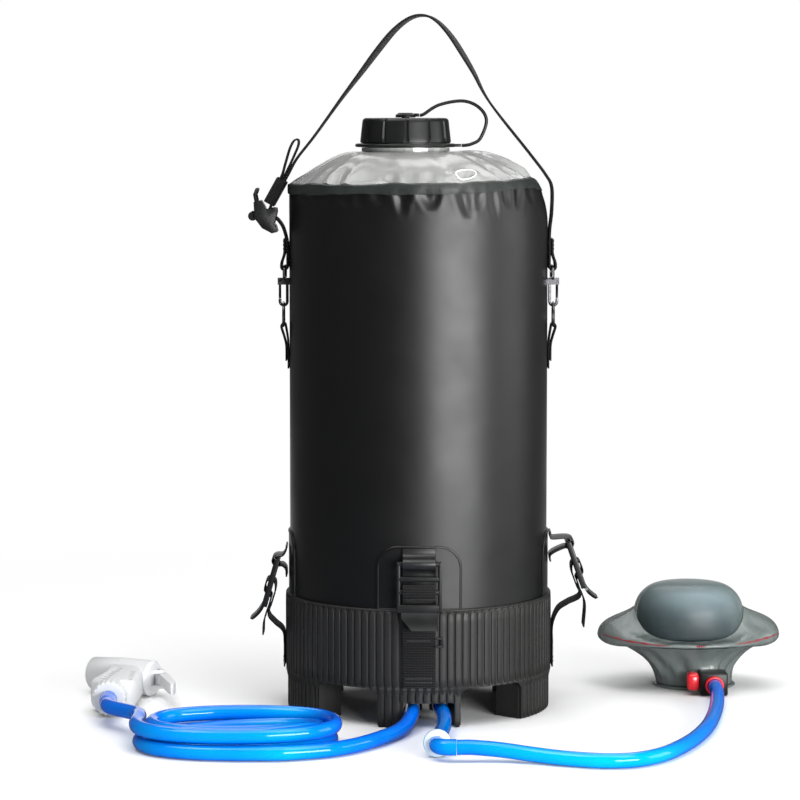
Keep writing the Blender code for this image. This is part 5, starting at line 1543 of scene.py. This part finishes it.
def make_pump_cover():
    outer = foam_rows(0.0447, 0.0446, 0.04)
    inner = foam_rows(0.0441, 0.0440, 0.04)
    shape = lathe(outer + inner[::-1], 144, PUMP, stretch=PUMP_FLAT)
    as_piece("pump_cover_film", shape, COVER_FILM, "pump_top", sharp=50)


def make_seam_mark(name, first, last):
    """The weld of the flange shows red where dye has run along it."""
    turns = [math.radians(first + (last - first) * k / 24) for k in range(25)]
    path = [PUMP + flange_point(a, 0.94) + Vector((0, 0, 0.0002)) for a in turns]

    def radius(share):
        return 0.0003 + 0.0008 * math.sin(math.pi * share) * (0.6 + 0.4 * math.sin(31 * share))

    as_piece(name, sweep(path, circle(radius, 8)), RED_DYE, "pump_top", sharp=60)


# %% Pump
make_pump_foam()
make_pump_cover()
flange_rows = [lambda a, t=k / 12: flange_point(a, t) for k in range(25)]
film_shell("pump_flange_film", flange_rows, "pump_top", ["pump_skirt"])
chamber_rows = [lambda a, t=k / 14: chamber_point(a, t) for k in range(15)]
chamber_rows += [lambda a, t=1 - k / 14: chamber_point(a, t, 0.0009) for k in range(15)]
chamber = film_shell("pump_chamber_film", chamber_rows, "shower", ["pump_chamber"])
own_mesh(chamber)
sole = lathe([(0, 0.0026), (0.0312, 0.0026), (0.0328, 0.0018), (0.0330, 0.0007), (0.0322, 0), (0, 0)], 96,
             PUMP + Vector((PUMP_LEAN, 0, 0)), stretch=PUMP_FLAT)
as_piece("pump_sole_film", sole, PUMP_FILM, "shower", ["pump_sole"])
for name, first, last in (("left", 192, 250), ("front", 271, 279), ("right", 306, 350)):
    make_seam_mark("seam_mark_" + name, first, last)
refine("pump_valve", BLACK_PLASTIC, "shower")
refine("pump_tap", RED_PLASTIC, "shower")
refine("pump_ring", RED_PLASTIC, "shower", 0.0003)

# %% [markdown]
# ## Light and floor
# The bag shows one broad highlight, and nothing else, so its main light is a long low softbox
# on the right. It is low because the bag's wall is upright: seen from slightly above, it
# mirrors what stands near the ground. A weak low lamp further round lifts the wall's right
# side, and the others stand higher and only lift the shadows.

# %% Lamps
LAMP_AIM = AXIS + Vector((0, 0, 0.25))


def lamp(name, direction, elevation, distance, width, height, power):
    """Direction is in degrees from the front, to the right; the lamp looks at the bag."""
    data = bpy.data.lights.new(name, "AREA")
    data.shape = "RECTANGLE"
    data.size = width
    data.size_y = height
    data.energy = power
    made = show(name, data)
    a, e = math.radians(direction), math.radians(elevation)
    reach = Vector((math.sin(a) * math.cos(e), -math.cos(a) * math.cos(e), math.sin(e)))
    made.location = LAMP_AIM + distance * reach
    made.rotation_euler = reach.to_track_quat("Z", "Y").to_euler()
    made.visible_camera = False
    print(name, round(power / (math.pi * width * height), 1), "W per square metre and steradian")


lamp("softbox", 32, 1.0, 1.7, 1.20, 0.52, 38)
lamp("wide", 50, 56, 2.2, 1.2, 1.2, 9)
lamp("right", 88, 6, 1.9, 1.1, 0.9, 9)
lamp("overhead", 0, 82, 1.9, 2.0, 2.0, 30)
lamp("left", -62, 58, 2.1, 1.0, 1.0, 12)
lamp("back", 180, 46, 2.2, 1.6, 1.0, 14)

# %% [markdown]
# The floor is pale and keeps the shadows. Further out it shines by itself, so the background
# stays white without more light on the object. Behind the object, gloss mirrors that white as
# a backdrop. To the front and the sides the studio is dark, which is why the film looks black.

# %% Floor and world
def seen_directly(look):
    """1 for rays from the camera, also through clear film, and the node for other kinds."""
    rays = node(look, "ShaderNodeLightPath").outputs
    return combined(look, "MAXIMUM", rays["Is Camera Ray"], rays["Is Transmission Ray"]), rays


def make_floor():
    look = finish("floor", (0.95, 0.95, 0.95), 0.9, specular=0.1)
    tree = look.node_tree
    where = node(look, "ShaderNodeTexCoord").outputs["Object"]
    reach = node(look, "ShaderNodeVectorMath", {"operation": "LENGTH"}, i_0=where).outputs["Value"]
    far = spread(look, reach, 0.22, 0.95, 0.0, 1.0)
    split = node(look, "ShaderNodeSeparateXYZ", Vector=where).outputs
    behind = spread(look, split["Y"], 0.5, 0.9, 0.0, 1.0)
    aside = combined(look, "ABSOLUTE", split["X"])
    backdrop = combined(look, "MULTIPLY", behind, spread(look, aside, 0.5, 0.9, 1.0, 0.0))
    direct, rays = seen_directly(look)
    glossy = rays["Is Glossy Ray"]
    share = combined(look, "MAXIMUM", combined(look, "MULTIPLY", direct, far), glossy)
    dark = combined(look, "MULTIPLY", glossy, spread(look, backdrop, 0.0, 1.0, 0.88, 0.0))
    strength = combined(look, "SUBTRACT", 1.0, dark)
    glow = node(look, "ShaderNodeEmission", Color=(1, 1, 1, 1), Strength=strength)
    mixed = node(look, "ShaderNodeMixShader", i_0=share, i_1=tree.nodes["Principled BSDF"].outputs[0],
                 i_2=glow.outputs[0])
    tree.links.new(mixed.outputs[0], tree.nodes["Material Output"].inputs["Surface"])
    shape = bmesh.new()
    bmesh.ops.create_circle(shape, cap_ends=True, segments=96, radius=40.0)
    bmesh.ops.translate(shape, verts=shape.verts, vec=(0, 0, -0.0002))
    mesh = bpy.data.meshes.new("floor")
    shape.to_mesh(mesh)
    shape.free()
    mesh.materials.append(look)
    show("floor", mesh)


def make_world():
    """White to the camera and straight behind the object, dim everywhere else."""
    world = bpy.data.worlds.new("studio")
    world.use_nodes = True
    coords = node(world, "ShaderNodeTexCoord").outputs["Generated"]
    split = node(world, "ShaderNodeSeparateXYZ", Vector=coords).outputs
    ahead = spread(world, split["Y"], 0.955, 0.975, 0.10, 1.0)
    level = combined(world, "MAXIMUM", ahead, seen_directly(world)[0])
    world.node_tree.links.new(level, world.node_tree.nodes["Background"].inputs["Color"])
    bpy.context.scene.world = world


make_floor()
make_world()
